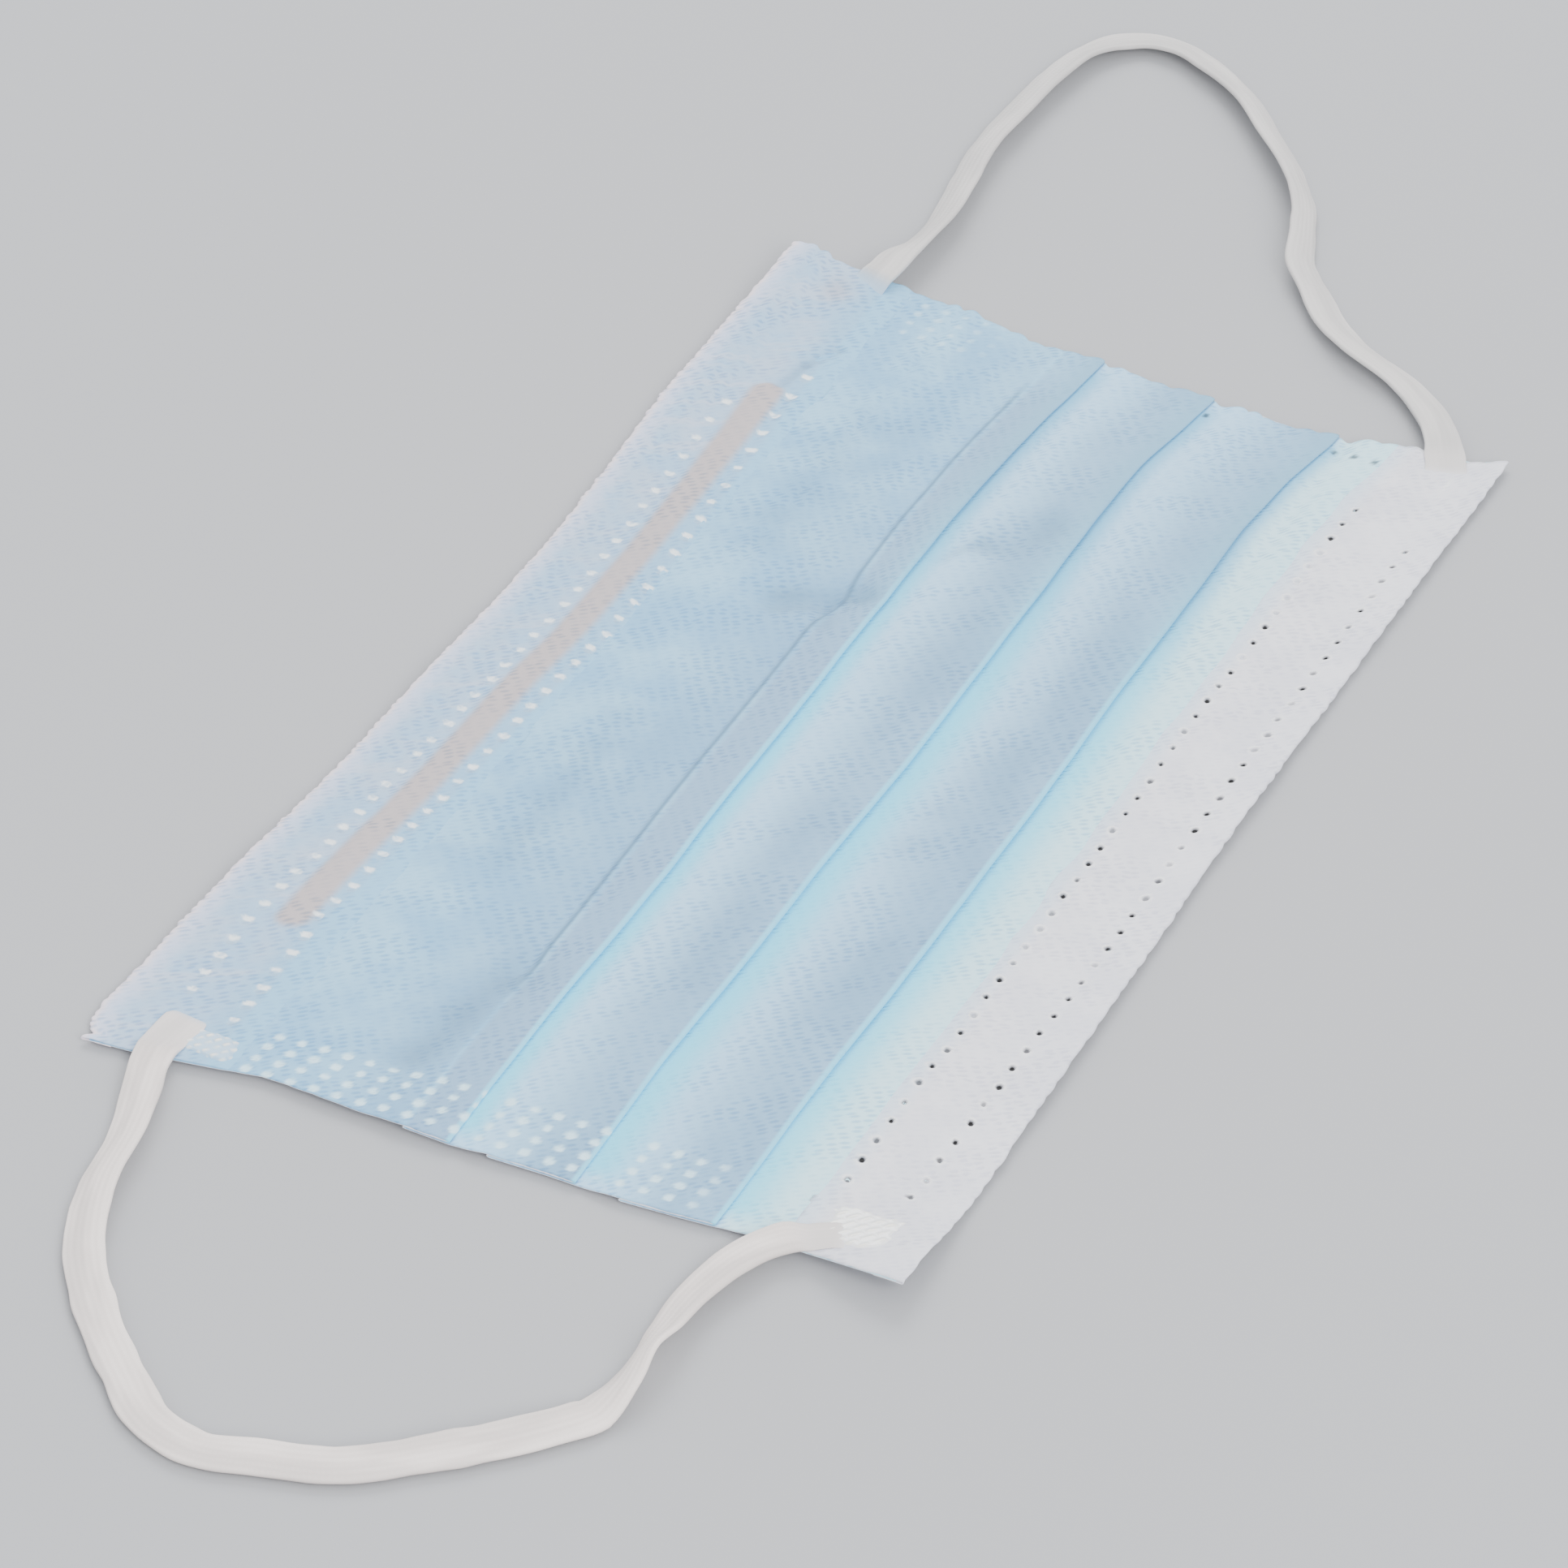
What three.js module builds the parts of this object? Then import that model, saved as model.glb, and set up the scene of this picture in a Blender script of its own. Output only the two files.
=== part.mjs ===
// A pleated three-ply surgical face mask, lying flat with its outer face up.
// Millimetres, +Z up. X runs along the mask from its near side (-X) to its far side (+X), and
// Y across it from the chin edge (-Y) to the nose edge (+Y). The origin is under the middle of
// the folded body, on the table.
import * as THREE from "three";

const { degToRad, lerp, smoothstep } = THREE.MathUtils;

// ---------------------------------------------------------------- driving dimensions
const BODY_LENGTH = 175; // along X, at the nose edge
const BODY_HEIGHT = 95; // along Y, folded
const CLOTH = 1.0; // thickness of the three welded plies, and of a hem
const GAP = 0.3; // between pieces that touch, and between the layers of a pleat

// The pleats, from the nose edge down. fold is where the edge that shows lies, depth is how far
// the hidden edge lies back under it, and puff is how much the fold stands open at mid length.
const PLEATS = [
  { fold: 4.0, depth: 6.0, puff: 0.7 },
  { fold: -10.5, depth: 10.0, puff: 0.9 },
  { fold: -27.0, depth: 11.0, puff: 0.9 },
];
const RAMP = 2.4; // the length over which the cloth climbs onto a hidden edge
const PRESSED = 0.5; // share of the half length over which a fold opens from the side seams

const NOSE_HEM = 15.5; // width of the ply turned over the nose edge
const CHIN_HEM = 13.5; // and over the chin edge
const HEM_TOP = 2 * CLOTH + GAP; // a hem's upper face above the table

// The flat strip that bends to the nose. x and y are its middle, before the nose edge bows, and
// within tip of its ends it narrows to tipWidth.
const WIRE = { x: -1.5, y: 37.0, length: 119, width: 3.4, thickness: 0.6, tip: 1.2, tipWidth: 1.7 };
const WIRE_STEPS = 28;

// The plan outline, from the nose edge down: where the near and far side edges lie, and how far
// a line across the mask bows at mid length.
const OUTLINE = [
  { y: 47.5, near: -87.5, far: 87.5, bow: -1.8 },
  { y: 36.0, near: -87.0, far: 86.5, bow: -1.8 },
  { y: 20.0, near: -85.5, far: 86.0, bow: -0.6 },
  { y: 4.0, near: -85.5, far: 83.5, bow: 0.8 },
  { y: -10.5, near: -85.5, far: 82.5, bow: -0.3 },
  { y: -27.0, near: -84.5, far: 81.5, bow: -0.5 },
  { y: -38.0, near: -85.5, far: 84.0, bow: 0 },
  { y: -47.5, near: -87.0, far: 86.5, bow: 0 },
];

// Corners that curl off the table: where, how high, and how far in the curl starts.
const CURLS = [
  { x: 87.5, y: 47.5, lift: 2.5, reach: 22 },
  { x: -87.0, y: -47.5, lift: 2.5, reach: 20 },
];

// Where sections are taken along the body, as shares of its half length. Two of them are at the
// ends of the wire.
const WIRE_START = (WIRE.x - WIRE.length / 2) / (BODY_LENGTH / 2);
const WIRE_END = (WIRE.x + WIRE.length / 2) / (BODY_LENGTH / 2);
const STATIONS = [
  -1, -0.965, -0.92, -0.86, -0.78, WIRE_START, -0.6, -0.35, 0,
  0.35, 0.58, WIRE_END, 0.74, 0.81, 0.87, 0.92, 0.965, 1,
];
const STEP = 4; // longest step between points across the flat cloth
const EASE_STEPS = 4; // steps of cloth that climbs
const TURN_STEPS = 4; // and of cloth that turns right over
const HEM_STEPS = 14; // and across a hem

// The ear loops: flat elastic, its ends welded on top of the hems at the corners. Each row is a
// point of the band's middle line, with the inside of the loop on the left of the walk. rest is
// the height of what lies under the band, and tilt, in degrees, is how far the band's inside edge
// is turned up (or its outside edge, where tilt is negative).
const BAND = { width: 4.5, thickness: 1.0, steps: 72 };
const ON_HEM = HEM_TOP + GAP;
const NEAR_LOOP = [
  { x: -79.5, y: 39.0, rest: ON_HEM, tilt: 0 },
  { x: -84.0, y: 39.5, rest: ON_HEM, tilt: 0 },
  { x: -88.5, y: 39.0, rest: 2.6, tilt: 0 },
  { x: -94.5, y: 37.0, rest: 0.8, tilt: 15 },
  { x: -101.0, y: 35.0, rest: 0, tilt: 25 },
  { x: -109.5, y: 33.5, rest: 0, tilt: 25 },
  { x: -118.5, y: 30.0, rest: 0, tilt: 15 },
  { x: -126.5, y: 24.0, rest: 0, tilt: 10 },
  { x: -133.5, y: 17.0, rest: 0, tilt: 10 },
  { x: -139.0, y: 10.0, rest: 0, tilt: 10 },
  { x: -140.0, y: 5.0, rest: 0, tilt: 5 },
  { x: -138.5, y: -1.0, rest: 0, tilt: 10 },
  { x: -136.0, y: -8.5, rest: 0, tilt: 10 },
  { x: -130.0, y: -16.0, rest: 0, tilt: 10 },
  { x: -122.0, y: -24.0, rest: 0, tilt: 10 },
  { x: -117.0, y: -27.5, rest: 0, tilt: 0 },
  { x: -112.5, y: -28.5, rest: 0, tilt: -30 },
  { x: -108.0, y: -28.5, rest: 0, tilt: -50 },
  { x: -103.5, y: -28.5, rest: 0, tilt: -35 },
  { x: -97.0, y: -28.5, rest: 0.4, tilt: -20 },
  { x: -90.5, y: -30.0, rest: 1.8, tilt: -10 },
  { x: -86.0, y: -32.0, rest: 2.6, tilt: 0 },
  { x: -83.0, y: -35.5, rest: ON_HEM, tilt: 0 },
  { x: -81.0, y: -40.5, rest: ON_HEM, tilt: 0 },
];
const FAR_LOOP = [
  { x: 78.5, y: -42.5, rest: ON_HEM, tilt: 0 },
  { x: 83.5, y: -40.5, rest: ON_HEM, tilt: 0 },
  { x: 88.0, y: -38.0, rest: 2.4, tilt: 5 },
  { x: 92.0, y: -35.0, rest: 1.0, tilt: 10 },
  { x: 96.0, y: -30.5, rest: 0.2, tilt: 15 },
  { x: 101.0, y: -21.5, rest: 0, tilt: 20 },
  { x: 105.0, y: -17.0, rest: 0, tilt: 15 },
  { x: 110.0, y: -13.0, rest: 0, tilt: 20 },
  { x: 115.0, y: -9.0, rest: 0, tilt: 30 },
  { x: 120.5, y: -7.0, rest: 0, tilt: 45 },
  { x: 128.0, y: -4.0, rest: 0, tilt: 45 },
  { x: 135.0, y: 0.5, rest: 0, tilt: 40 },
  { x: 141.5, y: 6.0, rest: 0, tilt: 35 },
  { x: 148.5, y: 12.0, rest: 0, tilt: 30 },
  { x: 154.0, y: 19.0, rest: 0, tilt: 20 },
  { x: 157.0, y: 25.0, rest: 0, tilt: 15 },
  { x: 157.0, y: 29.5, rest: 0, tilt: 10 },
  { x: 155.0, y: 32.5, rest: 0, tilt: 10 },
  { x: 150.5, y: 35.0, rest: 0, tilt: 20 },
  { x: 142.0, y: 36.5, rest: 0, tilt: 25 },
  { x: 132.0, y: 37.0, rest: 0, tilt: 25 },
  { x: 121.5, y: 37.0, rest: 0, tilt: 30 },
  { x: 110.5, y: 35.5, rest: 0, tilt: 30 },
  { x: 103.0, y: 34.5, rest: 0.2, tilt: 35 },
  { x: 97.0, y: 34.5, rest: 0.8, tilt: 35 },
  { x: 91.5, y: 35.0, rest: 2.0, tilt: 15 },
  { x: 86.5, y: 35.5, rest: ON_HEM, tilt: 0 },
  { x: 82.0, y: 37.0, rest: ON_HEM, tilt: 0 },
  { x: 78.5, y: 38.5, rest: ON_HEM, tilt: 0 },
];

// ---------------------------------------------------------------- how the body lies
const smooth = (t) => smoothstep(t, 0, 1);

// One column of the outline's table, read between its rows.
function outlineAt(name, y) {
  const next = OUTLINE.findIndex((row) => row.y < y);
  if (next === 0) return OUTLINE[0][name];
  if (next < 0) return OUTLINE.at(-1)[name];
  const [high, low] = [OUTLINE[next - 1], OUTLINE[next]];
  return lerp(low[name], high[name], smooth((y - low.y) / (high.y - low.y)));
}

// How far the curled corners lift the cloth at a place.
function curlAt(x, y) {
  const lifts = CURLS.map((c) => c.lift * (1 - smooth(Math.hypot(x - c.x, y - c.y) / c.reach)));
  return lifts.reduce((sum, lift) => sum + lift, 0);
}

// Takes a point of the flat, square body to where it lies. along is a share of the half length.
function lie(along, y, z) {
  const near = outlineAt("near", y);
  const far = outlineAt("far", y);
  const x = lerp(near, far, (along + 1) / 2);
  const bowed = y + outlineAt("bow", y) * (1 - along * along);
  return new THREE.Vector3(x, bowed, z + curlAt(x, bowed));
}

// ---------------------------------------------------------------- lines and lofts
// Lines lie in the YZ plane and run from the nose edge towards the chin edge.
const point = (y, z) => new THREE.Vector2(y, z);

// Cloth from y0 to y1, easing from one height to the other.
function run(y0, z0, y1, z1 = z0) {
  const steps = z0 === z1 ? Math.ceil(Math.abs(y1 - y0) / STEP) : EASE_STEPS;
  return Array.from({ length: steps + 1 }, (_, i) =>
    point(lerp(y0, y1, i / steps), lerp(z0, z1, smooth(i / steps))),
  );
}

// Cloth that turns about a centre, from angle to angle.
function turn(y, z, radius, from, to) {
  return Array.from({ length: TURN_STEPS + 1 }, (_, i) => {
    const angle = lerp(from, to, i / TURN_STEPS);
    return point(y + radius * Math.cos(angle), z + radius * Math.sin(angle));
  });
}

// The outline of a cloth: its middle line moved half its thickness to each side.
function thicken(line) {
  const sides = line.map((p, i) => {
    const before = line[Math.max(0, i - 1)];
    const after = line[Math.min(line.length - 1, i + 1)];
    const ahead = after.clone().sub(before).normalize();
    const out = point(ahead.y, -ahead.x).multiplyScalar(CLOTH / 2);
    return { upper: p.clone().add(out), lower: p.clone().sub(out) };
  });
  return [...sides.map((s) => s.upper), ...sides.map((s) => s.lower).reverse()];
}

// A closed body through rings of points. Each ring runs along one side of the cloth and back
// along the other, so its ends are closed by strips from side to side.
function loft(rings) {
  const count = rings[0].length;
  const last = (rings.length - 1) * count;
  const index = [];
  const quad = (a, b, c, d) => index.push(a, b, c, a, c, d);
  for (let start = 0; start < last; start += count) {
    for (let i = 0; i < count; i++) {
      const a = start + i;
      const b = start + ((i + 1) % count);
      quad(a, b, b + count, a + count);
    }
  }
  for (let i = 0; i + 1 < count / 2; i++) {
    const back = count - 1 - i;
    quad(back, back - 1, i + 1, i);
    quad(last + i, last + i + 1, last + back - 1, last + back);
  }
  const geometry = new THREE.BufferGeometry().setFromPoints(rings.flat());
  geometry.setIndex(index);
  geometry.computeVertexNormals();
  return geometry;
}

// Cloth whose middle line is given at each station along the body.
function cloth(lineAt) {
  return loft(STATIONS.map((along) => thicken(lineAt(along)).map((p) => lie(along, p.x, p.y))));
}

// ---------------------------------------------------------------- the pleated body
const BASE = CLOTH / 2; // middle of the cloth where it lies on the table
const LAYER = CLOTH + GAP; // from one layer of a pleat to the next

function pleatedLine(along) {
  const open = smooth((1 - Math.abs(along)) / PRESSED);
  const end = BODY_HEIGHT / 2 - LAYER - GAP; // the hems wrap both edges
  const line = [];
  let from = end;
  for (const { fold, depth, puff } of PLEATS) {
    const hidden = fold + depth;
    const crest = hidden + LAYER;
    const middle = BASE + LAYER;
    const top = middle + LAYER + open * puff;
    const shownRadius = (top - middle) / 2;
    const hiddenRadius = LAYER / 2;
    const shownY = fold + CLOTH / 2 + shownRadius;
    const hiddenY = hidden - CLOTH / 2 - hiddenRadius;
    line.push(...run(from, BASE, crest + RAMP).slice(0, -1));
    line.push(...run(crest + RAMP, BASE, crest, top).slice(0, -1));
    line.push(...run(crest, top, shownY).slice(0, -1));
    line.push(...turn(shownY, middle + shownRadius, shownRadius, Math.PI / 2, Math.PI * 1.5));
    line.push(...run(shownY, middle, hiddenY).slice(1, -1));
    line.push(...turn(hiddenY, BASE + hiddenRadius, hiddenRadius, Math.PI / 2, -Math.PI / 2));
    from = hiddenY;
  }
  line.push(...run(from, BASE, -end).slice(1));
  return line;
}

// ---------------------------------------------------------------- hems and nose wire
const BULGE_FADE = 0.05; // share of the half length over which the hem comes down past the wire
const BULGE_SIDES = 2.2; // and across it, in half widths of the wire

// How far the nose hem is raised by the wire under it.
function bulgeAt(along, y) {
  const past = Math.max(WIRE_START - along, along - WIRE_END, 0) / BULGE_FADE;
  const across = BULGE_SIDES - Math.abs(y - WIRE.y) / (WIRE.width / 2);
  return (WIRE.thickness + GAP) * smooth(across) * (1 - smooth(past));
}

// A hem's middle line: from its free edge on the outer face, over the edge of the body, and down
// to the table. raised gives its height over a flat hem.
function hemLine(side, width, raised) {
  const edge = BODY_HEIGHT / 2;
  const height = BASE + LAYER;
  const top = Array.from({ length: HEM_STEPS }, (_, i) => {
    const y = lerp(edge - width, edge - height, i / HEM_STEPS);
    return point(y, height + raised(y));
  });
  const line = [...top, ...turn(edge - height, BASE, LAYER, Math.PI / 2, 0), point(edge - BASE, 0)];
  return side === "nose" ? line.reverse() : line.map((p) => point(-p.x, p.y));
}

const noseHem = (along) => hemLine("nose", NOSE_HEM, (y) => bulgeAt(along, y));
const chinHem = () => hemLine("chin", CHIN_HEM, () => 0);

function noseWire() {
  const corners = [point(1, 1), point(-1, 1), point(-1, 0), point(1, 0)];
  const rings = Array.from({ length: WIRE_STEPS + 1 }, (_, i) => {
    const share = i / WIRE_STEPS;
    const fromEnd = Math.min(1, (Math.min(share, 1 - share) * WIRE.length) / WIRE.tip);
    const half = lerp(WIRE.tipWidth, WIRE.width, fromEnd) / 2;
    const along = lerp(WIRE_START, WIRE_END, share);
    return corners.map((c) => lie(along, WIRE.y + c.x * half, LAYER + c.y * WIRE.thickness));
  });
  return loft(rings);
}

// ---------------------------------------------------------------- ear loops
function earLoop(rows) {
  const path = new THREE.CatmullRomCurve3(
    rows.map((row) => new THREE.Vector3(row.x, row.y, row.rest)),
    false,
    "centripetal",
  );
  const corners = [point(1, -1), point(1, 1), point(-1, 1), point(-1, -1)];
  const up = new THREE.Vector3(0, 0, 1);
  const rings = Array.from({ length: BAND.steps + 1 }, (_, i) => {
    const t = i / BAND.steps;
    const row = Math.min(rows.length - 2, Math.floor(t * (rows.length - 1)));
    const share = smooth(t * (rows.length - 1) - row);
    const tilt = degToRad(lerp(rows[row].tilt, rows[row + 1].tilt, share));
    const halfWidth = BAND.width / 2;
    const halfThick = BAND.thickness / 2;
    const centre = path.getPoint(t);
    const ahead = path.getTangent(t);
    const left = new THREE.Vector3(-ahead.y, ahead.x, 0).normalize();
    const edges = [-halfWidth, halfWidth].map((w) => centre.clone().addScaledVector(left, w));
    const curl = Math.max(...edges.map((edge) => curlAt(edge.x, edge.y)));
    const rest = lerp(rows[row].rest, rows[row + 1].rest, share) + curl;
    centre.z = rest + halfWidth * Math.abs(Math.sin(tilt)) + halfThick * Math.cos(tilt);
    const across = left.clone().multiplyScalar(Math.cos(tilt)).addScaledVector(up, Math.sin(tilt));
    const face = up.clone().multiplyScalar(Math.cos(tilt)).addScaledVector(left, -Math.sin(tilt));
    return corners.map((c) =>
      centre
        .clone()
        .addScaledVector(across, c.x * halfWidth)
        .addScaledVector(face, c.y * halfThick),
    );
  });
  return loft(rings);
}

// ---------------------------------------------------------------- the mask
const finish = (color, roughness) => new THREE.MeshStandardMaterial({ color, roughness });
const PIECES = [
  ["pleated_body", cloth(pleatedLine), finish(0xb9cfdb, 0.85)],
  ["nose_hem", cloth(noseHem), finish(0xdfe3e8, 0.85)],
  ["nose_wire", noseWire(), finish(0xb9a9a5, 0.5)],
  ["chin_hem", cloth(chinHem), finish(0xdedcde, 0.85)],
  ["ear_loop_near", earLoop(NEAR_LOOP), finish(0xd8d2cf, 0.8)],
  ["ear_loop_far", earLoop(FAR_LOOP), finish(0xd8d2cf, 0.8)],
];

const mask = new THREE.Group();
mask.name = "surgical_face_mask";
for (const [name, geometry, material] of PIECES) {
  const mesh = new THREE.Mesh(geometry, material);
  mesh.name = name;
  mask.add(mesh);
}

export default mask;
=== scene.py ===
# %% [markdown]
# # A pleated surgical face mask, lying on a table
# The mask is three plies of soft non-woven cloth: pale blue outside, white inside. They are folded
# into three pleats and welded at both sides. The white ply is turned over the two long edges as
# hems. The nose hem holds a flat strip that bends, and two flat elastic bands go round the ears.
# The CAD model gives each piece its place. Here each piece gets its real cloth thickness, its
# folds, its welds and its finish, and the tables are in millimetres, because a maker measures so.
# %% Load the frame
import math

import bpy
import numpy as np
from mathutils import Matrix, Vector


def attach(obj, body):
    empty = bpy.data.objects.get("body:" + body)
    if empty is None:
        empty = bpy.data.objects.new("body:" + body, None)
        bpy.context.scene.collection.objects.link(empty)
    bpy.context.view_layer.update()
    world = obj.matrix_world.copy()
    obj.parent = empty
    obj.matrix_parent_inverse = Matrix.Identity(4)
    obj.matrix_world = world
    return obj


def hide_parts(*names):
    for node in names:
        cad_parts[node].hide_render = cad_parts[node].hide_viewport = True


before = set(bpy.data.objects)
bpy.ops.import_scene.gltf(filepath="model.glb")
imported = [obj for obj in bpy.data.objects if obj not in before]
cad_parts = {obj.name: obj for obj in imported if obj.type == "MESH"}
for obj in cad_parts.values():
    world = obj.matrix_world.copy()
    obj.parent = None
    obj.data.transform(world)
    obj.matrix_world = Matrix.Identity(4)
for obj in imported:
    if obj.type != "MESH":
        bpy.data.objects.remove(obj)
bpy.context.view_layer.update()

MM = 0.001


def placed(name, data):
    """A new object in the scene that shows the given data."""
    made = bpy.data.objects.new(name, data)
    bpy.context.collection.objects.link(made)
    return made


# %% [markdown]
# ## The camera
# A long lens far away keeps the mask's sides almost parallel, as a product picture does. The
# camera stands off the near chin corner and looks down at the table. It is turned by three
# angles, so that each can be read and changed on its own: round the mask, up, and a slight roll.
# %% Place the camera
CAMERA = {"around": -65.97, "up": 36.29, "roll": 2.40, "distance": 798.7, "lens": 164.2}
LOOK_AT = Vector((-11.98, 1.58, 0.0)) * MM


def camera_axes(around, up, roll):
    """The camera's right, up and backward directions, from its three angles in degrees."""
    around, up, roll = (math.radians(angle) for angle in (around, up, roll))
    right = Vector((math.cos(around), math.sin(around), 0))
    back = Vector((math.sin(around) * math.cos(up), -math.cos(around) * math.cos(up), math.sin(up)))
    level = back.cross(right)
    turned_right = math.cos(roll) * right + math.sin(roll) * level
    turned_up = math.cos(roll) * level - math.sin(roll) * right
    return turned_right, turned_up, back


camera_data = bpy.data.cameras.new("camera")
camera_data.lens = CAMERA["lens"]
camera_data.sensor_width = 36
camera = placed("camera", camera_data)
axes = camera_axes(CAMERA["around"], CAMERA["up"], CAMERA["roll"])
pose = Matrix(axes).transposed().to_4x4()
pose.translation = LOOK_AT + axes[2] * CAMERA["distance"] * MM
camera.matrix_world = pose
bpy.context.scene.camera = camera
print("camera at", [round(v, 3) for v in pose.translation])

# %% [markdown]
# ## Small tools for shapes
# Everything on the mask is a sheet or a band, so a few helpers do nearly all of the work. One
# eases between two values, one reads a table and rounds its corners, and one makes gentle waves.
# The waves are sums of sines with numbered seeds, so each run gives the same cloth.
# %% Easing, tables and waves
WAVES = 7


def smooth(t):
    """Eases from 0 to 1 with a soft start and a soft end."""
    t = np.clip(t, 0, 1)
    return t * t * (3 - 2 * t)


def read_table(value, rows, soften=1.5):
    """Reads (place, height) rows at a value, with the corners rounded over a few millimetres."""
    places, heights = zip(*sorted(rows))
    offsets = np.linspace(-soften, soften, 7)
    return sum(np.interp(np.asarray(value, float) + o, places, heights) for o in offsets) / 7


def ripple(x, y, length, seed):
    """Gentle waves in all directions, about `length` long, mostly between -1 and 1."""
    rng = np.random.default_rng(seed)
    total = 0
    for _ in range(WAVES):
        angle, stretch, phase = rng.uniform((0, 0.7, 0), (math.tau, 1.5, math.tau))
        across = x * math.cos(angle) + y * math.sin(angle)
        total = total + np.sin(across * math.tau / (length * stretch) + phase)
    return total / math.sqrt(WAVES)


# %% [markdown]
# ## Small tools for meshes
# A cloth is built as a grid of points: its upper face, and the same grid a little lower as its
# under face, joined by a narrow rim so that the mesh is closed. The upper face carries fine
# detail, such as weld dots. The under face needs few points, so only some rows and columns are
# kept there, and the rim joins the two with wider faces.
# Each grid also stores where each point was on the flat cut cloth. The embossed texture follows
# that, so it runs on round the folds as it does on real cloth.
# %% Build a closed sheet from a grid
def ordered_rim(columns, rows):
    """The border of a grid, once round, in the direction of its upward faces."""
    last_column, last_row = columns[-1], rows[-1]
    rim = [(columns[0], j) for j in rows[:-1]]
    rim += [(i, last_row) for i in columns[:-1]]
    rim += [(last_column, j) for j in rows[:0:-1]]
    rim += [(i, rows[0]) for i in columns[:0:-1]]
    return rim


def grid_faces(number, columns, rows, flip):
    """The four-sided faces of a grid whose points are numbered by number[i, j]."""
    n = number[np.ix_(columns, rows)]
    corners = [n[:-1, :-1], n[:-1, 1:], n[1:, 1:], n[1:, :-1]]
    if flip:
        corners.reverse()
    return np.stack([c.ravel() for c in corners], axis=1).tolist()


def closed_sheet(name, upper, under, cut, values=None, keep=(1, 1)):
    """A closed mesh object from two grids in mm, shaped (columns, rows, 3).

    cut gives each point's place on the flat cloth, values names numbers to store on the points,
    and keep says that the under face takes every so many columns and rows."""
    n_columns, n_rows = upper.shape[:2]
    fine = list(range(n_columns)), list(range(n_rows))
    few = [sorted({*range(0, n, k), n - 1}) for n, k in zip((n_columns, n_rows), keep)]
    number = np.arange(n_columns * n_rows).reshape(n_columns, n_rows)
    below = np.full((n_columns, n_rows), -1)
    kept = np.ix_(*few)
    below[kept] = n_columns * n_rows + np.arange(len(few[0]) * len(few[1])).reshape(len(few[0]), -1)
    faces = grid_faces(number, *fine, flip=False) + grid_faces(below, *few, flip=True)
    n_smooth = len(faces)
    rim, wide = ordered_rim(*fine), ordered_rim(*few)
    at = {place: k for k, place in enumerate(rim)}
    for start, end in zip(wide, wide[1:] + wide[:1]):
        first, last = at[start], at[end] or len(rim)
        chain = [number[rim[k % len(rim)]] for k in range(first, last + 1)]
        faces.append([int(v) for v in chain[::-1]] + [int(below[start]), int(below[end])])
    points = np.concatenate([upper.reshape(-1, 3), under[kept].reshape(-1, 3)]) * MM
    mesh = bpy.data.meshes.new(name)
    mesh.from_pydata(points.tolist(), [], faces)
    mesh.polygons.foreach_set("use_smooth", [k < n_smooth for k in range(len(faces))])

    def both(grid):
        """A grid's numbers for the upper points, and then for the few points kept below."""
        return np.concatenate([part.reshape(-1, *grid.shape[2:]) for part in (grid, grid[kept])])

    for key, grid in (values or {}).items():
        store_number(mesh, key, both(np.broadcast_to(grid, upper.shape[:2])))
    store_cut(mesh, both(cut))
    return add_piece(name, mesh)


def store_number(mesh, key, numbers):
    """Stores one number on each point, for a material to read by name."""
    layer = mesh.attributes.new(key, "FLOAT", "POINT")
    layer.data.foreach_set("value", np.ascontiguousarray(numbers, np.float32))


def store_cut(mesh, places):
    """Stores each point's place on the flat cloth, in mm, as the UV map named cut."""
    corners = np.empty(len(mesh.loops), np.int32)
    mesh.loops.foreach_get("vertex_index", corners)
    layer = mesh.uv_layers.new(name="cut")
    layer.data.foreach_set("uv", np.ascontiguousarray(places[corners].ravel(), np.float32))


def add_piece(name, mesh):
    """Puts a mesh into the scene and says how many triangles it has."""
    mesh.validate()
    mesh.update()
    piece = placed(name, mesh)
    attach(piece, "root")
    print(name, "has", sum(len(p.vertices) - 2 for p in mesh.polygons), "triangles")
    return piece


# %% [markdown]
# ## The ear bands: where they run
# Each band is flat knitted elastic, welded to two corners of the mask. On the table it lies in a
# loose bend and rolls over here and there, so that one of its edges stands up. A band is a free
# cord, so its route comes first and the mesh follows it.
# Each row gives a point of the band's middle line, the height of what lies under it, and how far
# the band's inside edge is turned up, in degrees. The inside is on the left of the walk.
# %% Routes of the two bands
BAND_WIDTH = 4.5
BAND_THICKNESS = 0.8
CAD_HEM_TOP = 2.6  # the height that the routes give to a band on a hem
NEAR_ROUTE = [
    (-79.5, 39.0, 2.6, 0), (-84.0, 39.5, 2.6, 0), (-88.5, 39.0, 2.6, 0), (-94.5, 37.0, 0.8, 15),
    (-101.0, 35.0, 0, 25), (-109.5, 33.5, 0, 25), (-118.5, 30.0, 0, 15), (-126.5, 24.0, 0, 10),
    (-133.5, 17.0, 0, 10), (-139.0, 10.0, 0, 10), (-140.0, 5.0, 0, 5), (-138.5, -1.0, 0, 10),
    (-136.0, -8.5, 0, 10), (-130.0, -16.0, 0, 10), (-122.0, -24.0, 0, 10), (-117.0, -27.5, 0, 0),
    (-112.5, -28.5, 0, -30), (-108.0, -28.5, 0, -50), (-103.5, -28.5, 0, -35),
    (-97.0, -28.5, 0.4, -20), (-90.5, -30.0, 1.8, -10), (-86.0, -32.0, 2.6, 0),
    (-83.0, -35.5, 2.6, 0), (-81.0, -40.5, 2.6, 0),
]  # x, y, rest, tilt
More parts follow.
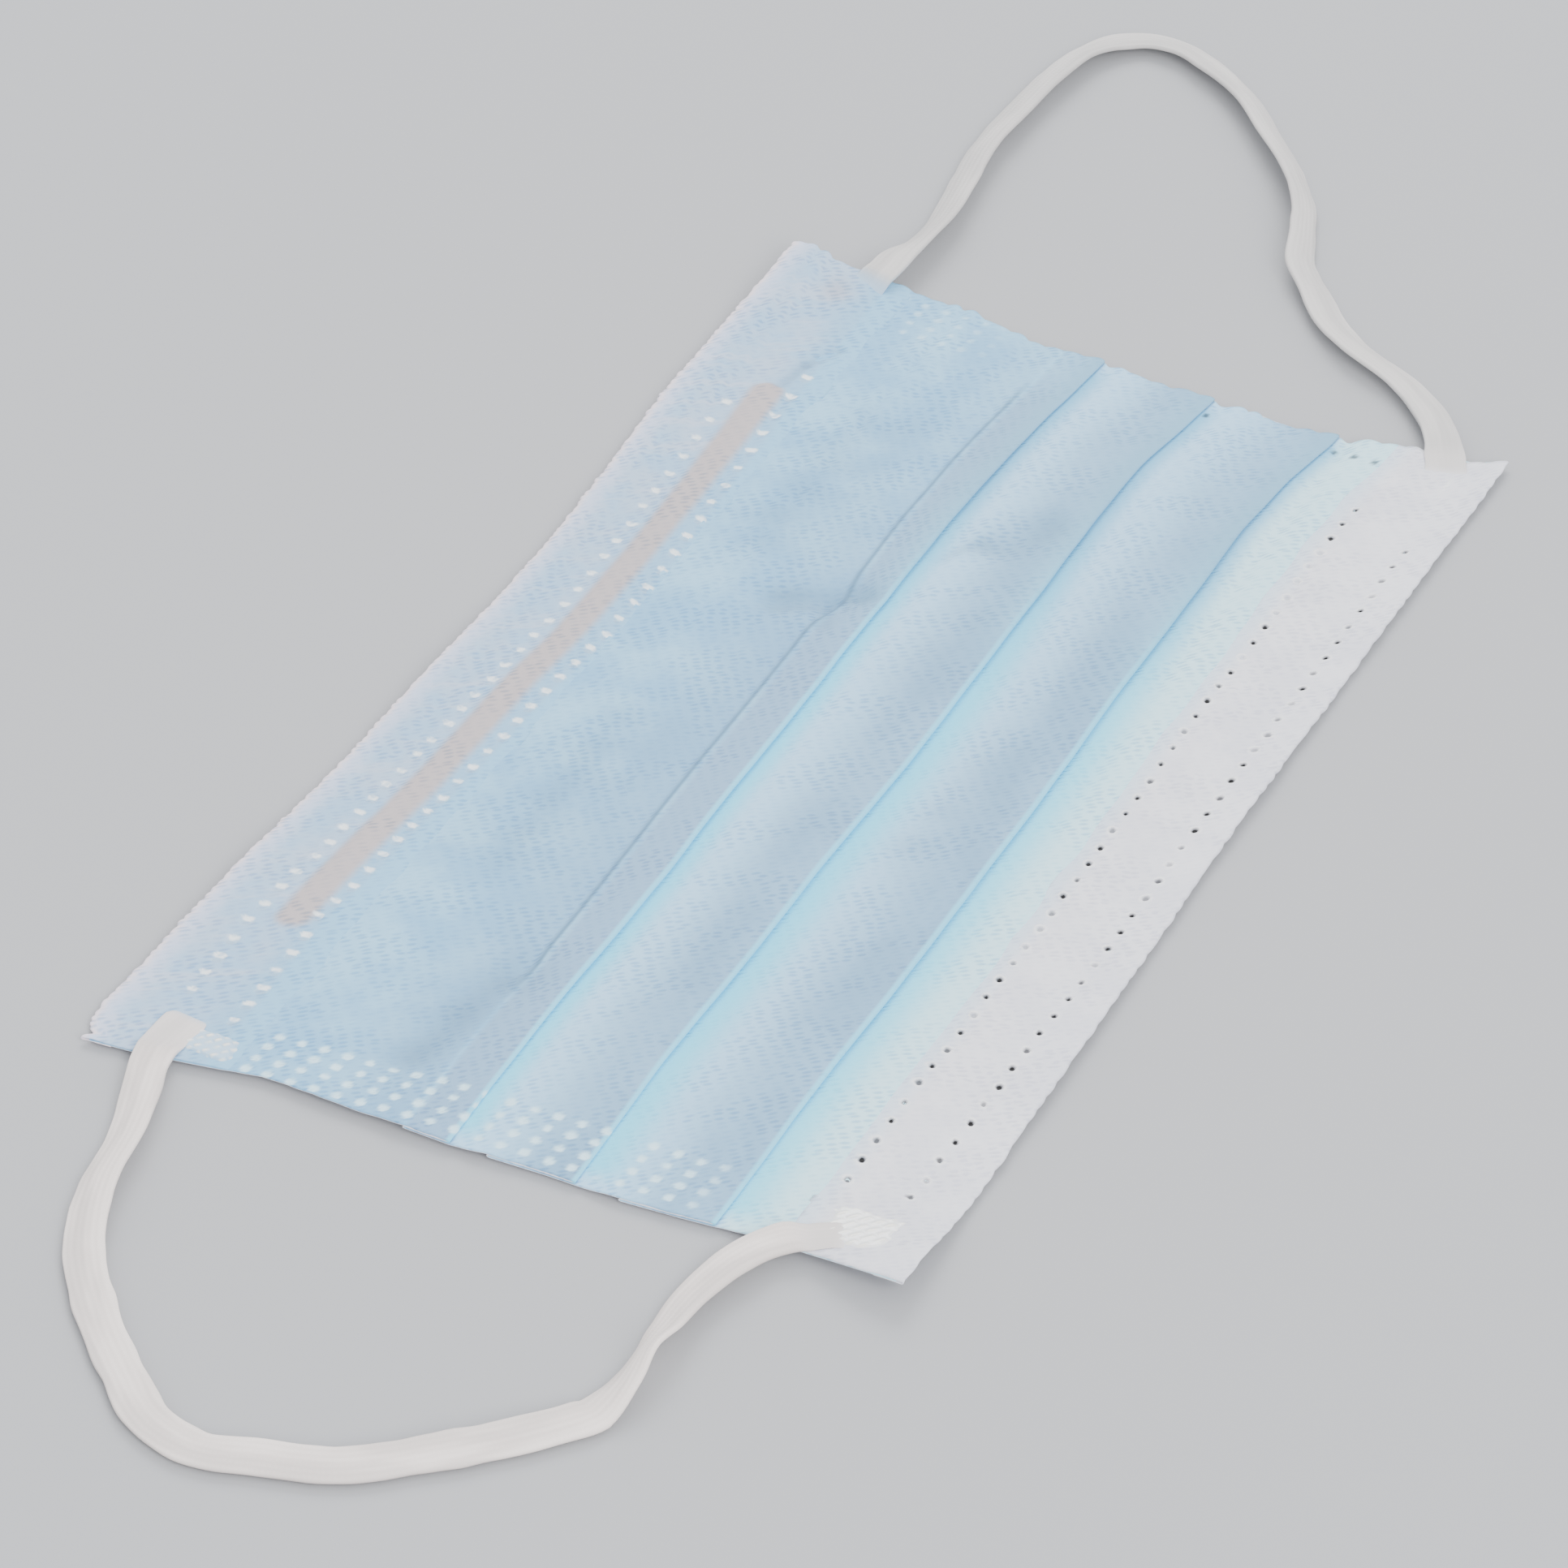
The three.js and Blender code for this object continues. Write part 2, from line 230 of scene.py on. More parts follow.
FAR_ROUTE = [
    (78.5, -42.5, 2.6, 0), (83.5, -40.5, 2.6, 0), (88.0, -38.0, 2.4, 5), (92.0, -35.0, 1.0, 10),
    (96.0, -30.5, 0.2, 15), (101.0, -21.5, 0, 20), (105.0, -17.0, 0, 15), (110.0, -13.0, 0, 20),
    (115.0, -9.0, 0, 30), (120.5, -7.0, 0, 45), (128.0, -4.0, 0, 45), (135.0, 0.5, 0, 40),
    (141.5, 6.0, 0, 35), (148.5, 12.0, 0, 30), (154.0, 19.0, 0, 20), (157.0, 25.0, 0, 15),
    (157.0, 29.5, 0, 10), (155.0, 32.5, 0, 10), (150.5, 35.0, 0, 20), (142.0, 36.5, 0, 25),
    (132.0, 37.0, 0, 25), (121.5, 37.0, 0, 30), (110.5, 35.5, 0, 30), (103.0, 34.5, 0.2, 35),
    (97.0, 34.5, 0.8, 35), (91.5, 35.0, 2.0, 15), (86.5, 35.5, 2.6, 0), (82.0, 37.0, 2.6, 0),
    (78.5, 38.5, 2.6, 0),
]  # x, y, rest, tilt


def walked_along(places):
    """The distance walked at each of a row of places."""
    steps = np.linalg.norm(np.diff(places, axis=0), axis=1)
    return np.concatenate([[0], np.cumsum(steps)])


def smooth_route(rows, step):
    """Rows at even steps along a smooth line through the given rows."""
    rows = np.array(rows, float)
    along = walked_along(rows[:, :2])
    slope = np.gradient(rows, along, axis=0)
    at = np.linspace(0, along[-1], int(along[-1] / step) + 1)
    row = np.clip(np.searchsorted(along, at, side="right") - 1, 0, len(rows) - 2)
    span = (along[row + 1] - along[row])[:, None]
    t = (at - along[row])[:, None] / span
    start = (1 + 2 * t) * (1 - t) ** 2 * rows[row] + t * (1 - t) ** 2 * span * slope[row]
    end = t * t * (3 - 2 * t) * rows[row + 1] + t * t * (t - 1) * span * slope[row + 1]
    return start + end


ROUTE_STEP = 0.8
near_rows, far_rows = (smooth_route(route, ROUTE_STEP) for route in (NEAR_ROUTE, FAR_ROUTE))
print("near and far band have", len(near_rows), "and", len(far_rows), "steps")

# %% [markdown]
# ## How the cloth lies on the table
# The mask isn't perfectly flat. Two opposite corners curl up a little, the cloth has long soft
# waves, and handling has left a few dents. All of the layers lie on each other, so one function
# gives the height of the ground that they share, and every piece adds it to its own height.
# %% Curls, waves and dents
CURLS = [(87.5, 47.5, 2.5, 22), (-87.0, -47.5, 2.5, 20)]  # x, y, lift, reach
DENTS = [
    (18.5, 17.0, 23.5, 8.5, 0.80, 2.3),
    (15.5, 10.0, 21.0, 11.5, 0.35, 1.2),
    (40.0, -1.2, 47.0, -5.2, 0.55, 3.0),
    (34.5, 3.6, 40.0, 0.8, 0.20, 1.0),
    (-75.0, 15.5, -57.0, 11.3, 0.55, 3.0),
    (-20.0, -17.0, 4.0, -19.5, 0.22, 3.5),
    (-40.0, 24.0, -12.0, 20.0, 0.28, 5.0),
    (30.0, 24.0, 58.0, 21.0, 0.26, 5.0),
    (59.5, 36.3, 65.5, 35.6, 0.30, 0.7),
    (65.5, 35.6, 70.6, 33.3, 0.26, 0.7),
]  # from x, y to x, y, depth, width
SPRING = 0.8  # how far the folded cloth stands off the table at its middle
SPRING_X, SPRING_Y = 86, 47  # where that spring has died away, at the welded sides and the hems
LOW_WAVE, LOW_LENGTH = 0.22, 46
FINE_WAVE, FINE_LENGTH = 0.05, 11


def curl_at(x, y):
    """How far the curled corners lift the cloth."""
    total = 0
    for cx, cy, lift, reach in CURLS:
        total = total + lift * (1 - smooth(np.hypot(x - cx, y - cy) / reach))
    return total


def dent_at(x, y):
    """How deep the dents are. Each is a soft groove along a short line."""
    total = 0
    for x0, y0, x1, y1, depth, width in DENTS:
        along = ((x - x0) * (x1 - x0) + (y - y0) * (y1 - y0)) / ((x1 - x0) ** 2 + (y1 - y0) ** 2)
        along = np.clip(along, 0, 1)
        away = np.hypot(x - x0 - along * (x1 - x0), y - y0 - along * (y1 - y0))
        total = total + depth * np.exp(-((away / width) ** 2))
    return total


def ground_at(x, y):
    """The height that all of the layers share at a place."""
    inward = np.clip(1 - (x / SPRING_X) ** 4, 0, 1) * np.clip(1 - (y / SPRING_Y) ** 4, 0, 1)
    waves = LOW_WAVE * (1 + ripple(x, y, LOW_LENGTH, 3)) + FINE_WAVE * ripple(x, y, FINE_LENGTH, 5)
    return curl_at(x, y) + np.maximum(waves + SPRING * inward - dent_at(x, y), 0)


# %% [markdown]
# ## The outline
# The flat mask is a rectangle, but its cut edges wander. Four tables say where the nose edge, the
# chin edge and the two side edges really run, and more tables do the same for the fold lines.
# The welding machine also leaves small crimps along each edge, the deepest on the far side.
# %% Edges and fold lines
HALF_HEIGHT = 47.5
HALF_BODY = 86.0  # about half the length of the body
HALF_CUT = 87.0  # half the length of the cut cloth
NEAR_EDGE = [
    (47.5, -88.4), (42.0, -87.9), (37.0, -87.2), (27.0, -85.4), (17.0, -86.0), (4.0, -86.2),
    (-5.0, -85.6), (-14.0, -85.8), (-21.0, -85.4), (-29.0, -84.5), (-34.0, -85.1),
    (-42.5, -86.7), (-47.5, -87.1),
]  # y, x
FAR_EDGE = [
    (49.0, 85.6), (48.0, 87.0), (46.5, 88.0), (45.0, 87.7), (41.0, 86.3), (38.0, 87.1),
    (34.0, 87.0), (27.5, 87.3), (20.6, 86.2), (12.0, 83.4), (4.0, 83.6), (-5.0, 81.9),
    (-10.6, 82.8), (-18.0, 81.6), (-22.0, 81.0), (-27.0, 82.0), (-33.0, 83.6),
    (-37.0, 84.4), (-43.0, 84.0), (-47.5, 86.9),
]  # y, x
LINES = {
    47.5: [(-88, 47.4), (-83, 48.8), (-63, 47.9), (-43, 47.1), (-22, 46.6), (0, 46.0), (23, 46.4),
           (34, 47.1), (45, 47.9), (57, 48.4), (69, 48.6), (79, 48.0), (88, 47.5)],
    31.0: [(-88, 31.0), (0, 29.9), (88, 31.0)],
    10.0: [(-87, 10.3), (-64, 10.4), (-56, 9.7), (-33, 9.8), (-8, 10.4), (8, 10.6), (14, 10.6),
           (17, 10.5), (20, 9.3), (26, 9.9), (40, 10.4), (60, 10.2), (70, 9.6), (86, 9.1)],
    4.0: [(-87, 5.0), (-61, 5.2), (-36, 4.7), (-8, 5.3), (10, 5.6), (28, 5.6), (42, 5.8),
          (59, 5.4), (70, 4.9), (83, 4.0)],
    -10.5: [(-87, -9.4), (-63, -9.3), (-39, -9.6), (-14, -10.0), (20, -9.9), (49, -9.1),
            (65, -9.2), (75, -10.3), (82, -11.0)],
    -27.0: [(-83, -25.2), (-71, -25.5), (-53, -25.8), (-24, -26.0), (3, -25.8), (28, -25.5),
            (57, -25.2), (70, -25.9), (80, -27.3)],
    -47.5: [(-88, -47.4), (-40, -47.2), (0, -46.6), (40, -46.9), (87, -47.4)],
}  # nominal y: the places (x, y) where that line really runs


def crimps(place, pitch, seed):
    """Small uneven bumps along an edge, between 0 and 1."""
    wander = 0.35 * ripple(place, 0 * place, 5 * pitch, seed)
    bump = np.abs(np.sin(math.pi * (place / pitch + wander)))
    return bump * (0.65 + 0.35 * ripple(place, 0 * place, 3 * pitch, seed + 1))


def notch(y, at, depth, width):
    """A small step in a side edge, beside a fold."""
    return depth * np.exp(-(((y - at) / width) ** 2))


def near_edge(y):
    """The x of the near side's cut edge at a height y."""
    return read_table(y, NEAR_EDGE) - 0.12 * crimps(y, 3.4, 21)


def far_edge(y):
    """The x of the far side's cut edge, with a small step beside each fold."""
    steps = notch(y, -12.2, 0.8, 0.9) + notch(y, -28.8, 0.9, 0.9) + notch(y, 2.5, 0.4, 0.8)
    return read_table(y, FAR_EDGE) + 0.70 * crimps(y, 2.9, 23) - 0.3 - steps


# %% From the flat plan to where the cloth lies
def bent(x, y):
    """Moves a nominal y to where it really is at this x."""
    nominal = sorted(LINES)
    shift = np.stack([read_table(x, LINES[line]) - line for line in nominal])
    position = np.clip(np.interp(y, nominal, range(len(nominal))), 0, len(nominal) - 1.001)
    below = position.astype(int)
    share = smooth(position - below)
    low = np.take_along_axis(shift, below[None], axis=0)[0]
    high = np.take_along_axis(shift, below[None] + 1, axis=0)[0]
    return y + low * (1 - share) + high * share


SQUEEZE = 0.55  # how thin the welds press everything at the two sides
WELD_REACH = 0.45  # the share of each half that the side weld holds down


def open_at(along):
    """0 at the welded sides and 1 over the middle of the mask."""
    return smooth((1 - np.abs(along)) / WELD_REACH)


def squeeze_at(along):
    """The share of its height that the cloth keeps: little at the welded sides, all between."""
    return SQUEEZE + (1 - SQUEEZE) * open_at(along)


def lay(along, y, z):
    """Takes a point of the flat body (along from -1 to 1, y and z in mm) to where it lies."""
    z = z * squeeze_at(along)
    rough_x = (near_edge(y) * (1 - along) + far_edge(y) * (1 + along)) / 2
    true_y = bent(rough_x, y)
    x = (near_edge(true_y) * (1 - along) + far_edge(true_y) * (1 + along)) / 2
    return np.stack([x, true_y, z + ground_at(x, true_y)], axis=-1)


print("the body is", round(float(far_edge(0.0) - near_edge(0.0)), 1), "mm long at the middle")

# %% [markdown]
# ## Weld dots and punched holes
# The three plies aren't sewn. A toothed wheel presses hot dots through them, which join the
# layers and leave small shiny dimples: four rows at each side, two rows along each hem.
# On the chin hem the teeth have gone through and left small holes.
# A dot is an oval. `dot_field` says how far into a dot each point of a grid lies, and how strong
# that dot is, so the same numbers can dent the mesh and colour it.
# %% Dots as ovals
def dot_grid(xs, ys, seed, jitter=0.12, faint=0.0):
    """Rows of (x, y, size, strength), each dot a little off its place."""
    rng = np.random.default_rng(seed)
    rows = []
    for x, y in zip(xs, ys):
        least, most = (-jitter, -jitter, 0.86, 1 - faint), (jitter, jitter, 1.12, 1)
        dx, dy, size, strength = rng.uniform(least, most)
        rows.append((x + dx, y + dy, size, strength))
    return rows


def dot_field(x, y, dots, radii, rim=0.0):
    """How deep in a dot each point lies (0 to 1), and the raised ring round it (0 to 1)."""
    inside, ring = np.zeros_like(x), np.zeros_like(x)
    for cx, cy, size, strength in dots:
        near = (np.abs(x - cx) < 2.5 * radii[0]) & (np.abs(y - cy) < 2.5 * radii[1])
        if not near.any():
            continue
        d = np.hypot((x[near] - cx) / (radii[0] * size), (y[near] - cy) / (radii[1] * size))
        inside[near] = np.maximum(inside[near], strength * smooth((1.15 - d) / 0.4))
        if rim:
            ring[near] = np.maximum(ring[near], strength * np.exp(-(((d - 1.35) / rim) ** 2)))
    return inside, ring


SIDE_ROWS, SIDE_PITCH = 4, 2.72
LEAN_FROM = 8  # the y at which the lean is nothing
NEAR_DOTS = {"x": -78.0, "step": -2.15, "lean": -0.035, "rise": 0.2, "top": 34.6, "count": 22}
FAR_DOTS = {"x": 77.7, "step": 2.3, "lean": 0.03, "rise": 0.0, "top": 34.0, "count": 22}


def side_dots(side, seed):
    """The weld dots of one side, in rows of four that lean a little with the edge."""
    xs, ys = [], []
    for k in range(side["count"]):
        for row in range(SIDE_ROWS):
            y = side["top"] - SIDE_PITCH * k + side["rise"] * row
            xs.append(side["x"] + side["step"] * row + side["lean"] * (y - LEAN_FROM))
            ys.append(y)
    return dot_grid(xs, ys, seed)


near_dots, far_dots = side_dots(NEAR_DOTS, 31), side_dots(FAR_DOTS, 37)
print(len(near_dots), "weld dots at each side")

# %% [markdown]
# ## The pleated cloth: the line of one fold
# A section across the mask is one line that runs from the nose edge to the chin edge and turns
# back twice at each pleat. The edge that shows is rolled, because soft cloth doesn't crease
# sharply there. The hidden edge is pressed, and the cloth above it climbs over it in a thin line,
# which shows as a crease. The pleats are pressed flat at the side welds and puff up between.
# The line is made of short stretches. Each gives y and z for every column at once, and fine
# stretches, where dots can be seen, get more points than covered ones.
# %% Draw the folded line
CLOTH = 0.30  # the three plies together
OUTER = 0.20  # the blue ply with the filter ply behind it
BASE = 0.30  # the middle of the cloth above the table, with the turned ply under it
LAYER = 0.34  # from one layer of a pleat to the next
PLEATS = [
    (4.0, 6.0, 0.15, 1.3),
    (-10.5, 10.0, 0.22, 4.4),
    (-27.0, 11.0, 0.26, 5.2),
]  # fold, depth of the pleat, puff, and how far the cloth takes to climb over the hidden edge
CREASE_FROM, CREASE_TO, CREASE_FADE = -64, 77, 9  # where the thin crease shows, and its fading ends
SHORT_CLIMB = 2  # a shorter climb than this shows as the thin crease
ROLL = 0.7  # the reach of the rolled edge that shows
BODY_EDGE = HALF_HEIGHT - 0.75  # the cloth stops inside the turned hems
FINE, COARSE = 0.36, 2.4
COVERED = 33.0  # beyond this the hems cover the cloth
UNDER_HEM, FLAT, CLIMBING, TOP, ROLLED, HIDDEN = range(6)  # what each stretch of the line is


def steps_between(y0, y1, step):
    """Shares from 0 to 1 for a stretch, with a point at least every step."""
    return np.linspace(0, 1, max(3, int(np.max(np.abs(y1 - y0)) / step) + 1))[None]


def creased_at(x):
    """1 where the thin crease shows, with soft ends."""
    return smooth((x - CREASE_FROM) / CREASE_FADE) * smooth((CREASE_TO - x) / CREASE_FADE)


def folded_line(along):
    """The middle line of the cloth at each column: grids of y and z, and what each point is."""
    open_share = open_at(along)[:, None]
    creased = creased_at(HALF_BODY * along[:, None])
    stretches = []

    def add(y, z, mark):
        y, z = np.broadcast_arrays(y + 0 * open_share, z + 0 * open_share)
        first = 1 if stretches else 0
        stretches.append((y[:, first:], z[:, first:], np.full(y[:, first:].shape, float(mark))))

    def flat(y0, y1, mark, step):
        t = steps_between(y0, y1, step)
        add(y0 + (y1 - y0) * t, BASE + 0 * t, mark)

    flat(BODY_EDGE, COVERED, UNDER_HEM, COARSE)
    start = COVERED
    for fold, depth, puff, climb in PLEATS:
        hidden = fold + depth
        edge = fold + ROLL
        top = BASE + 2 * LAYER
        # The crease fades into a long soft climb at both of its ends.
        climb = climb + 4.5 * (1 - creased) if climb < SHORT_CLIMB else climb
        lifted = top + puff * open_share
        middle = BASE + LAYER + 0.35 * puff * open_share
        flat(start, hidden + climb, FLAT, FINE)
        t = steps_between(np.max(climb), 0, 0.3)
        add(hidden + climb * (1 - t), BASE + (top - BASE) * smooth(t), CLIMBING)
        t = steps_between(hidden, edge, FINE)
        add(hidden + (edge - hidden) * t, top + (lifted - top) * smooth(t * 1.15), TOP)
        angle = np.linspace(math.pi / 2, 1.5 * math.pi, 13)[None]
        half = (lifted - middle) / 2
        add(edge + ROLL * np.cos(angle), middle + half + half * np.sin(angle), ROLLED)
        t = np.linspace(0, 1, 5)[None]
        bend = LAYER / 2
        settle = BASE + LAYER + (middle - BASE - LAYER) * (1 - smooth(t))
        add(edge + (hidden - bend - fold - ROLL) * t, settle, HIDDEN)
        angle = np.linspace(math.pi / 2, -math.pi / 2, 9)[None]
        add(hidden - bend + bend * np.cos(angle), BASE + bend + bend * np.sin(angle), HIDDEN)
        t = np.linspace(0, 1, 4)[None]
        start = fold + 0.4
        add(hidden - bend + (start - hidden + bend) * t, BASE + 0 * t, HIDDEN)
    flat(start, -COVERED - 1.5, FLAT, FINE)
    flat(-COVERED - 1.5, -BODY_EDGE, UNDER_HEM, COARSE)
    return tuple(np.concatenate(parts, axis=1) for parts in zip(*stretches))


# %% Columns of the body's grid
def columns_of(fine_from, fine_step, coarse_step):
    """Places along the body from -1 to 1, closer together beyond fine_from at both ends."""
    near = np.arange(-1, -fine_from, fine_step)
    middle = np.linspace(-fine_from, fine_from, int(2 * fine_from / coarse_step))
    far = 1 - np.arange(0, 1 - fine_from, fine_step)[::-1]
    return np.concatenate([near, middle, far[1:] if far[0] <= fine_from else far])


at_kink = np.linspace(0.14, 0.32, 36)  # the crease has a sharp kink here
body_columns = np.concatenate([columns_of(0.885, 0.0042, 0.0125), at_kink])
body_columns = np.unique(body_columns.round(5))
line_y, line_z, line_mark = folded_line(body_columns)
print("the body's grid is", line_y.shape, "points")

# %% [markdown]
# ## The outer and inner plies
# The blue ply is the outside of the folded line and the white ply is its inside. Both follow the
# same line at a small distance, so they turn together round each fold, and a thin edge of white
# shows below the blue at the sides. The line's direction gives the distance its direction too.
# %% Offset a ply from the folded line
def offset_line(y, z, distance):
    """The line moved to its outer side by a distance, for all columns."""
    dy, dz = np.gradient(y, axis=1), np.gradient(z, axis=1)
    size = np.hypot(dy, dz) + 1e-9
    return y + distance * dz / size, z - distance * dy / size


def line_length(y, z):
    """The distance along the flat cut cloth at each point of the line."""
    step = np.hypot(np.diff(y, axis=1), np.diff(z, axis=1))
    return np.concatenate([np.zeros((len(y), 1)), np.cumsum(step, axis=1)], axis=1)


def ply_grid(distance):
    """The points of a ply whose face is this far outside the folded line."""
    y, z = offset_line(line_y, line_z, distance)
    return lay(np.broadcast_to(body_columns[:, None], y.shape), y, z)


flat_length = line_length(line_y, line_z)
cut_x = np.broadcast_to(HALF_CUT * body_columns[:, None], line_y.shape)
cut_places = np.stack([cut_x, flat_length], axis=-1)

# %% [markdown]
# The finish of the blue ply changes with what lies under it, because the cloth is thin. A single
# layer lets the pale table through and looks whitish. Three layers look greyer and darker. Beside
# each fold the light comes through two blue layers, and that clear blue band is painted on the
# cloth as a glow. The rolled fold edges get painted light, and the crease and the dents painted
# shade. All of these belong to places on the cloth, so they are stored on the points.
# %% Marks for the finish of the blue ply
HIDDEN_EDGE = PLEATS[0][0] + PLEATS[0][1]  # the crease runs where the first pleat ends
# Beside each fold a glow is painted, of the light that comes through two blue layers.
GLOWS = [(3.4, 1.0), (5.4, 1.0), (5.4, 0.9)]  # reach and strength of the band beside each fold
FAR_REACH = 2.8


def fold_marks(points):
    """Numbers from 0 to 1 that say what shows at each place.

    pale: below the first fold. stack: how much of the thicker stack shows through. last: below
    the third fold. narrow: between the crease and the first fold. crease: painted shade along
    the thin crease. band: a painted glow beside a fold, of the light that comes through two blue
    layers. rim: painted light on the rolled edge above it, a painted highlight on its front in
    the near half and painted shade on its top in the far half. far: the far half, where the light
    is softer. dent_shade: painted shade in the dents. shade: the nose panel by the crease."""
    x, y = points[..., 0], points[..., 1]
    nominal = (HIDDEN_EDGE, *(fold for fold, *_ in PLEATS))
    crease, first, second, third = (bent(x, np.full_like(x, line)) for line in nominal)
    on_roll = np.isin(line_mark, (TOP, ROLLED))
    foot = np.isin(line_mark, (FLAT, CLIMBING, HIDDEN))
    ends = smooth((1 - np.abs(body_columns[:, None])) / 0.05)
    far = smooth((x - 8) / 50)
    stack, band, rim = np.zeros_like(x), np.zeros_like(x), np.zeros_like(x)
    for upper_fold, lower_fold in ((first, second), (second, third)):
        share = (upper_fold - y) / (upper_fold - lower_fold)
        between = (share > -0.05) & (share < np.where(on_roll, 1.1, 1.0))
        stack = np.maximum(stack, np.where(between, smooth((share - 0.14) / 0.64), 0))
    for fold, (near_reach, near_glow) in zip((first, second, third), GLOWS):
        past = fold - y
        reach = near_reach + (FAR_REACH - near_reach) * far
        glow = near_glow * smooth(1.1 - past / reach)
        glow = np.where(past < 0, near_glow, glow)
        band = np.maximum(band, np.where(foot & (past > -1.5), glow, 0))
        behind_roll = np.maximum(-past - ROLL, 0)
        # The rolled edge gets painted light: a highlight on its front in the near half, and shade
        # on its top in the far half.
        front = smooth((past + 0.45) / 0.25)
        rolled = front * (1 - far) + np.exp(-behind_roll / 1.9) * far
        rim = np.maximum(rim, np.where(on_roll & (past < 0.5), rolled, 0))
    narrow = smooth((crease - y) / 0.6) * smooth((y - first + 0.6) / 0.6)
    # Painted shade in the dents.
    dent_shade = np.clip(dent_at(x, y) / 0.6, 0, 1) * (0.75 + 0.25 * ripple(x, y, 7, 33))
    return {
        "pale": smooth((first - y) / 0.6), "last": smooth((third - y) / 1.0) * (line_mark < TOP),
        "stack": stack * (1 - 0.1 * far), "band": band * ends, "rim": rim,
        "narrow": narrow * (1 - 0.7 * smooth((x - 66) / 16)), "far": far, "dent_shade": dent_shade,
        "crease": np.exp(-(((y - crease - 0.45) / 0.38) ** 2)) * creased_at(x),
        "shade": smooth((crease + 15 - y) / 14) * smooth((y - crease) / 0.5) * (1 - 0.7 * far),
    }


# %% Dots and holes in the blue ply
DOT = 0.61  # radius of a weld dot at the near side
FAR_DOT = DOT - 0.08
DOT_DEPTH = 0.09
HOLE_DEPTH = 0.10
HOLE_RADII = (0.52, 0.40)
PUNCHED = [(78.8, -11.5), (78.6, -28.2), (78.9, -30.6), (78.9, -33.3), (-76.5, -32.6)]  # x, y

outer_top = ply_grid(CLOTH / 2)
marks = fold_marks(outer_top)
near_weld, _ = dot_field(outer_top[..., 0], outer_top[..., 1], near_dots, (DOT, DOT))
far_weld, _ = dot_field(outer_top[..., 0], outer_top[..., 1], far_dots, (FAR_DOT, FAR_DOT))
visible = np.isin(line_mark, (FLAT, CLIMBING, TOP, ROLLED))
beside_fold = smooth(1.2 - 2 * marks["band"])
near_weld *= visible * beside_fold * smooth((outer_top[..., 1] + 28) / 10)
far_weld *= visible * smooth((outer_top[..., 1] - 13) / 12)
outer_top[..., 2] -= DOT_DEPTH * (near_weld + 0.8 * far_weld)
marks["weld"] = near_weld + 0.55 * far_weld
# The punched holes are painted dark, as the shade in them, over a shallow pit.
punched = [(x, y, 1.0, 0.8) for x, y in PUNCHED]
marks["punched_hole_shade"], _ = dot_field(outer_top[..., 0], outer_top[..., 1], punched, HOLE_RADII)
marks["punched_hole_shade"] *= visible
outer_top[..., 2] -= HOLE_DEPTH * marks["punched_hole_shade"]
print("marks stored:", ", ".join(marks))

# %% Make the two plies
between_plies = ply_grid(CLOTH / 2 - OUTER)
outer_ply = closed_sheet("outer_ply", outer_top, between_plies, cut_places, marks, keep=(2, 2))
inner_faces = between_plies[:, ::2], ply_grid(-CLOTH / 2)[:, ::2]
inner_ply = closed_sheet("inner_ply", *inner_faces, cut_places[:, ::2], keep=(2, 1))

# %% [markdown]
# ## The hems
# The white ply is wider than the rest. At both long edges it is turned up over the edge and
# welded down on the outside. Its line starts at the free edge, runs to the long edge, rolls over
# it and ends a few millimetres in on the under side. The nose hem also rises over the strip.
# Hems are so thin that what is under them shows through, which is a matter for their finish.
# %% Shared hem line
HEM = 0.12  # one ply of the thin white cloth
HEM_AIR = 0.10  # between the hem and the cloth under it
TUCK = 0.27  # how far the free edge is pressed into the cloth, so that no step shows
HEM_WIDTH = {"nose": 16.6, "chin": 13.9}
TURNED_UNDER = 3.0
STRIP = {"width": 3.6, "thickness": 0.40, "near": -62.0, "far": 59.5}
STRIP_LINE = [
    (-62, 10.1), (-50, 10.4), (-35, 10.6), (-18, 10.9), (0, 11.4), (30, 11.4), (45, 11.0),
    (59, 10.5),
]  # x, distance from the nose edge to the strip's middle


def strip_share(x, s, soft):
    """1 over the strip, 0 beside it. s is the distance from the nose edge."""
    half = STRIP["width"] / 2
    across = np.abs(s - read_table(x, STRIP_LINE)) - half
    past = np.maximum(STRIP["near"] + half - x, x - STRIP["far"] + half)
    beyond = np.hypot(np.maximum(across + half, 0), np.maximum(past, 0)) - half
    away = np.where(past > 0, beyond, across)
    return smooth(0.5 - away / soft)


def hem_rows(width, spots, fine, coarse):
    """Distances from the long edge for the rows of a hem, close together at the given spots."""
    rows = [width]
    while rows[-1] > 0.6:
        near_spot = any(abs(rows[-1] - spot) < 1.1 for spot in spots)
        rows.append(rows[-1] - (fine if near_spot else coarse))
    return np.array(rows[:-1])


def hem_grid(side, along, rows, raise_by, distance):
    """Places of a hem at a distance from its middle line: columns by rows.

    rows are distances s from the long edge, on the outside. After them come the roll over the
    edge and the part turned under."""
    sign = 1 if side == "nose" else -1
    top = BASE + CLOTH / 2 + HEM_AIR + HEM / 2
    low = HEM / 2 + 0.02
    radius = (top - low) / 2
    angle = np.linspace(math.pi / 2, -math.pi / 2, 11)
    rolled = HALF_HEIGHT - radius + radius * np.cos(angle)
    turned = HALF_HEIGHT - radius - np.linspace(0.8, TURNED_UNDER, 3)
    y = np.concatenate([HALF_HEIGHT - rows, rolled, turned])
    z = np.concatenate([top + 0 * rows, (top + low) / 2 + radius * np.sin(angle), np.full(3, low)])
    y = np.broadcast_to(y, (len(along), len(y))).copy()
    z = np.broadcast_to(z, y.shape).copy()
    z[:, : len(rows)] += raise_by
    s = line_length(y, z)
    ny, nz = offset_line(-y, z, distance)
    wide = np.broadcast_to(along[:, None], y.shape)
    cut = np.stack([HALF_CUT * wide, -sign * s], axis=-1)
    return lay(wide, -sign * ny, nz), cut
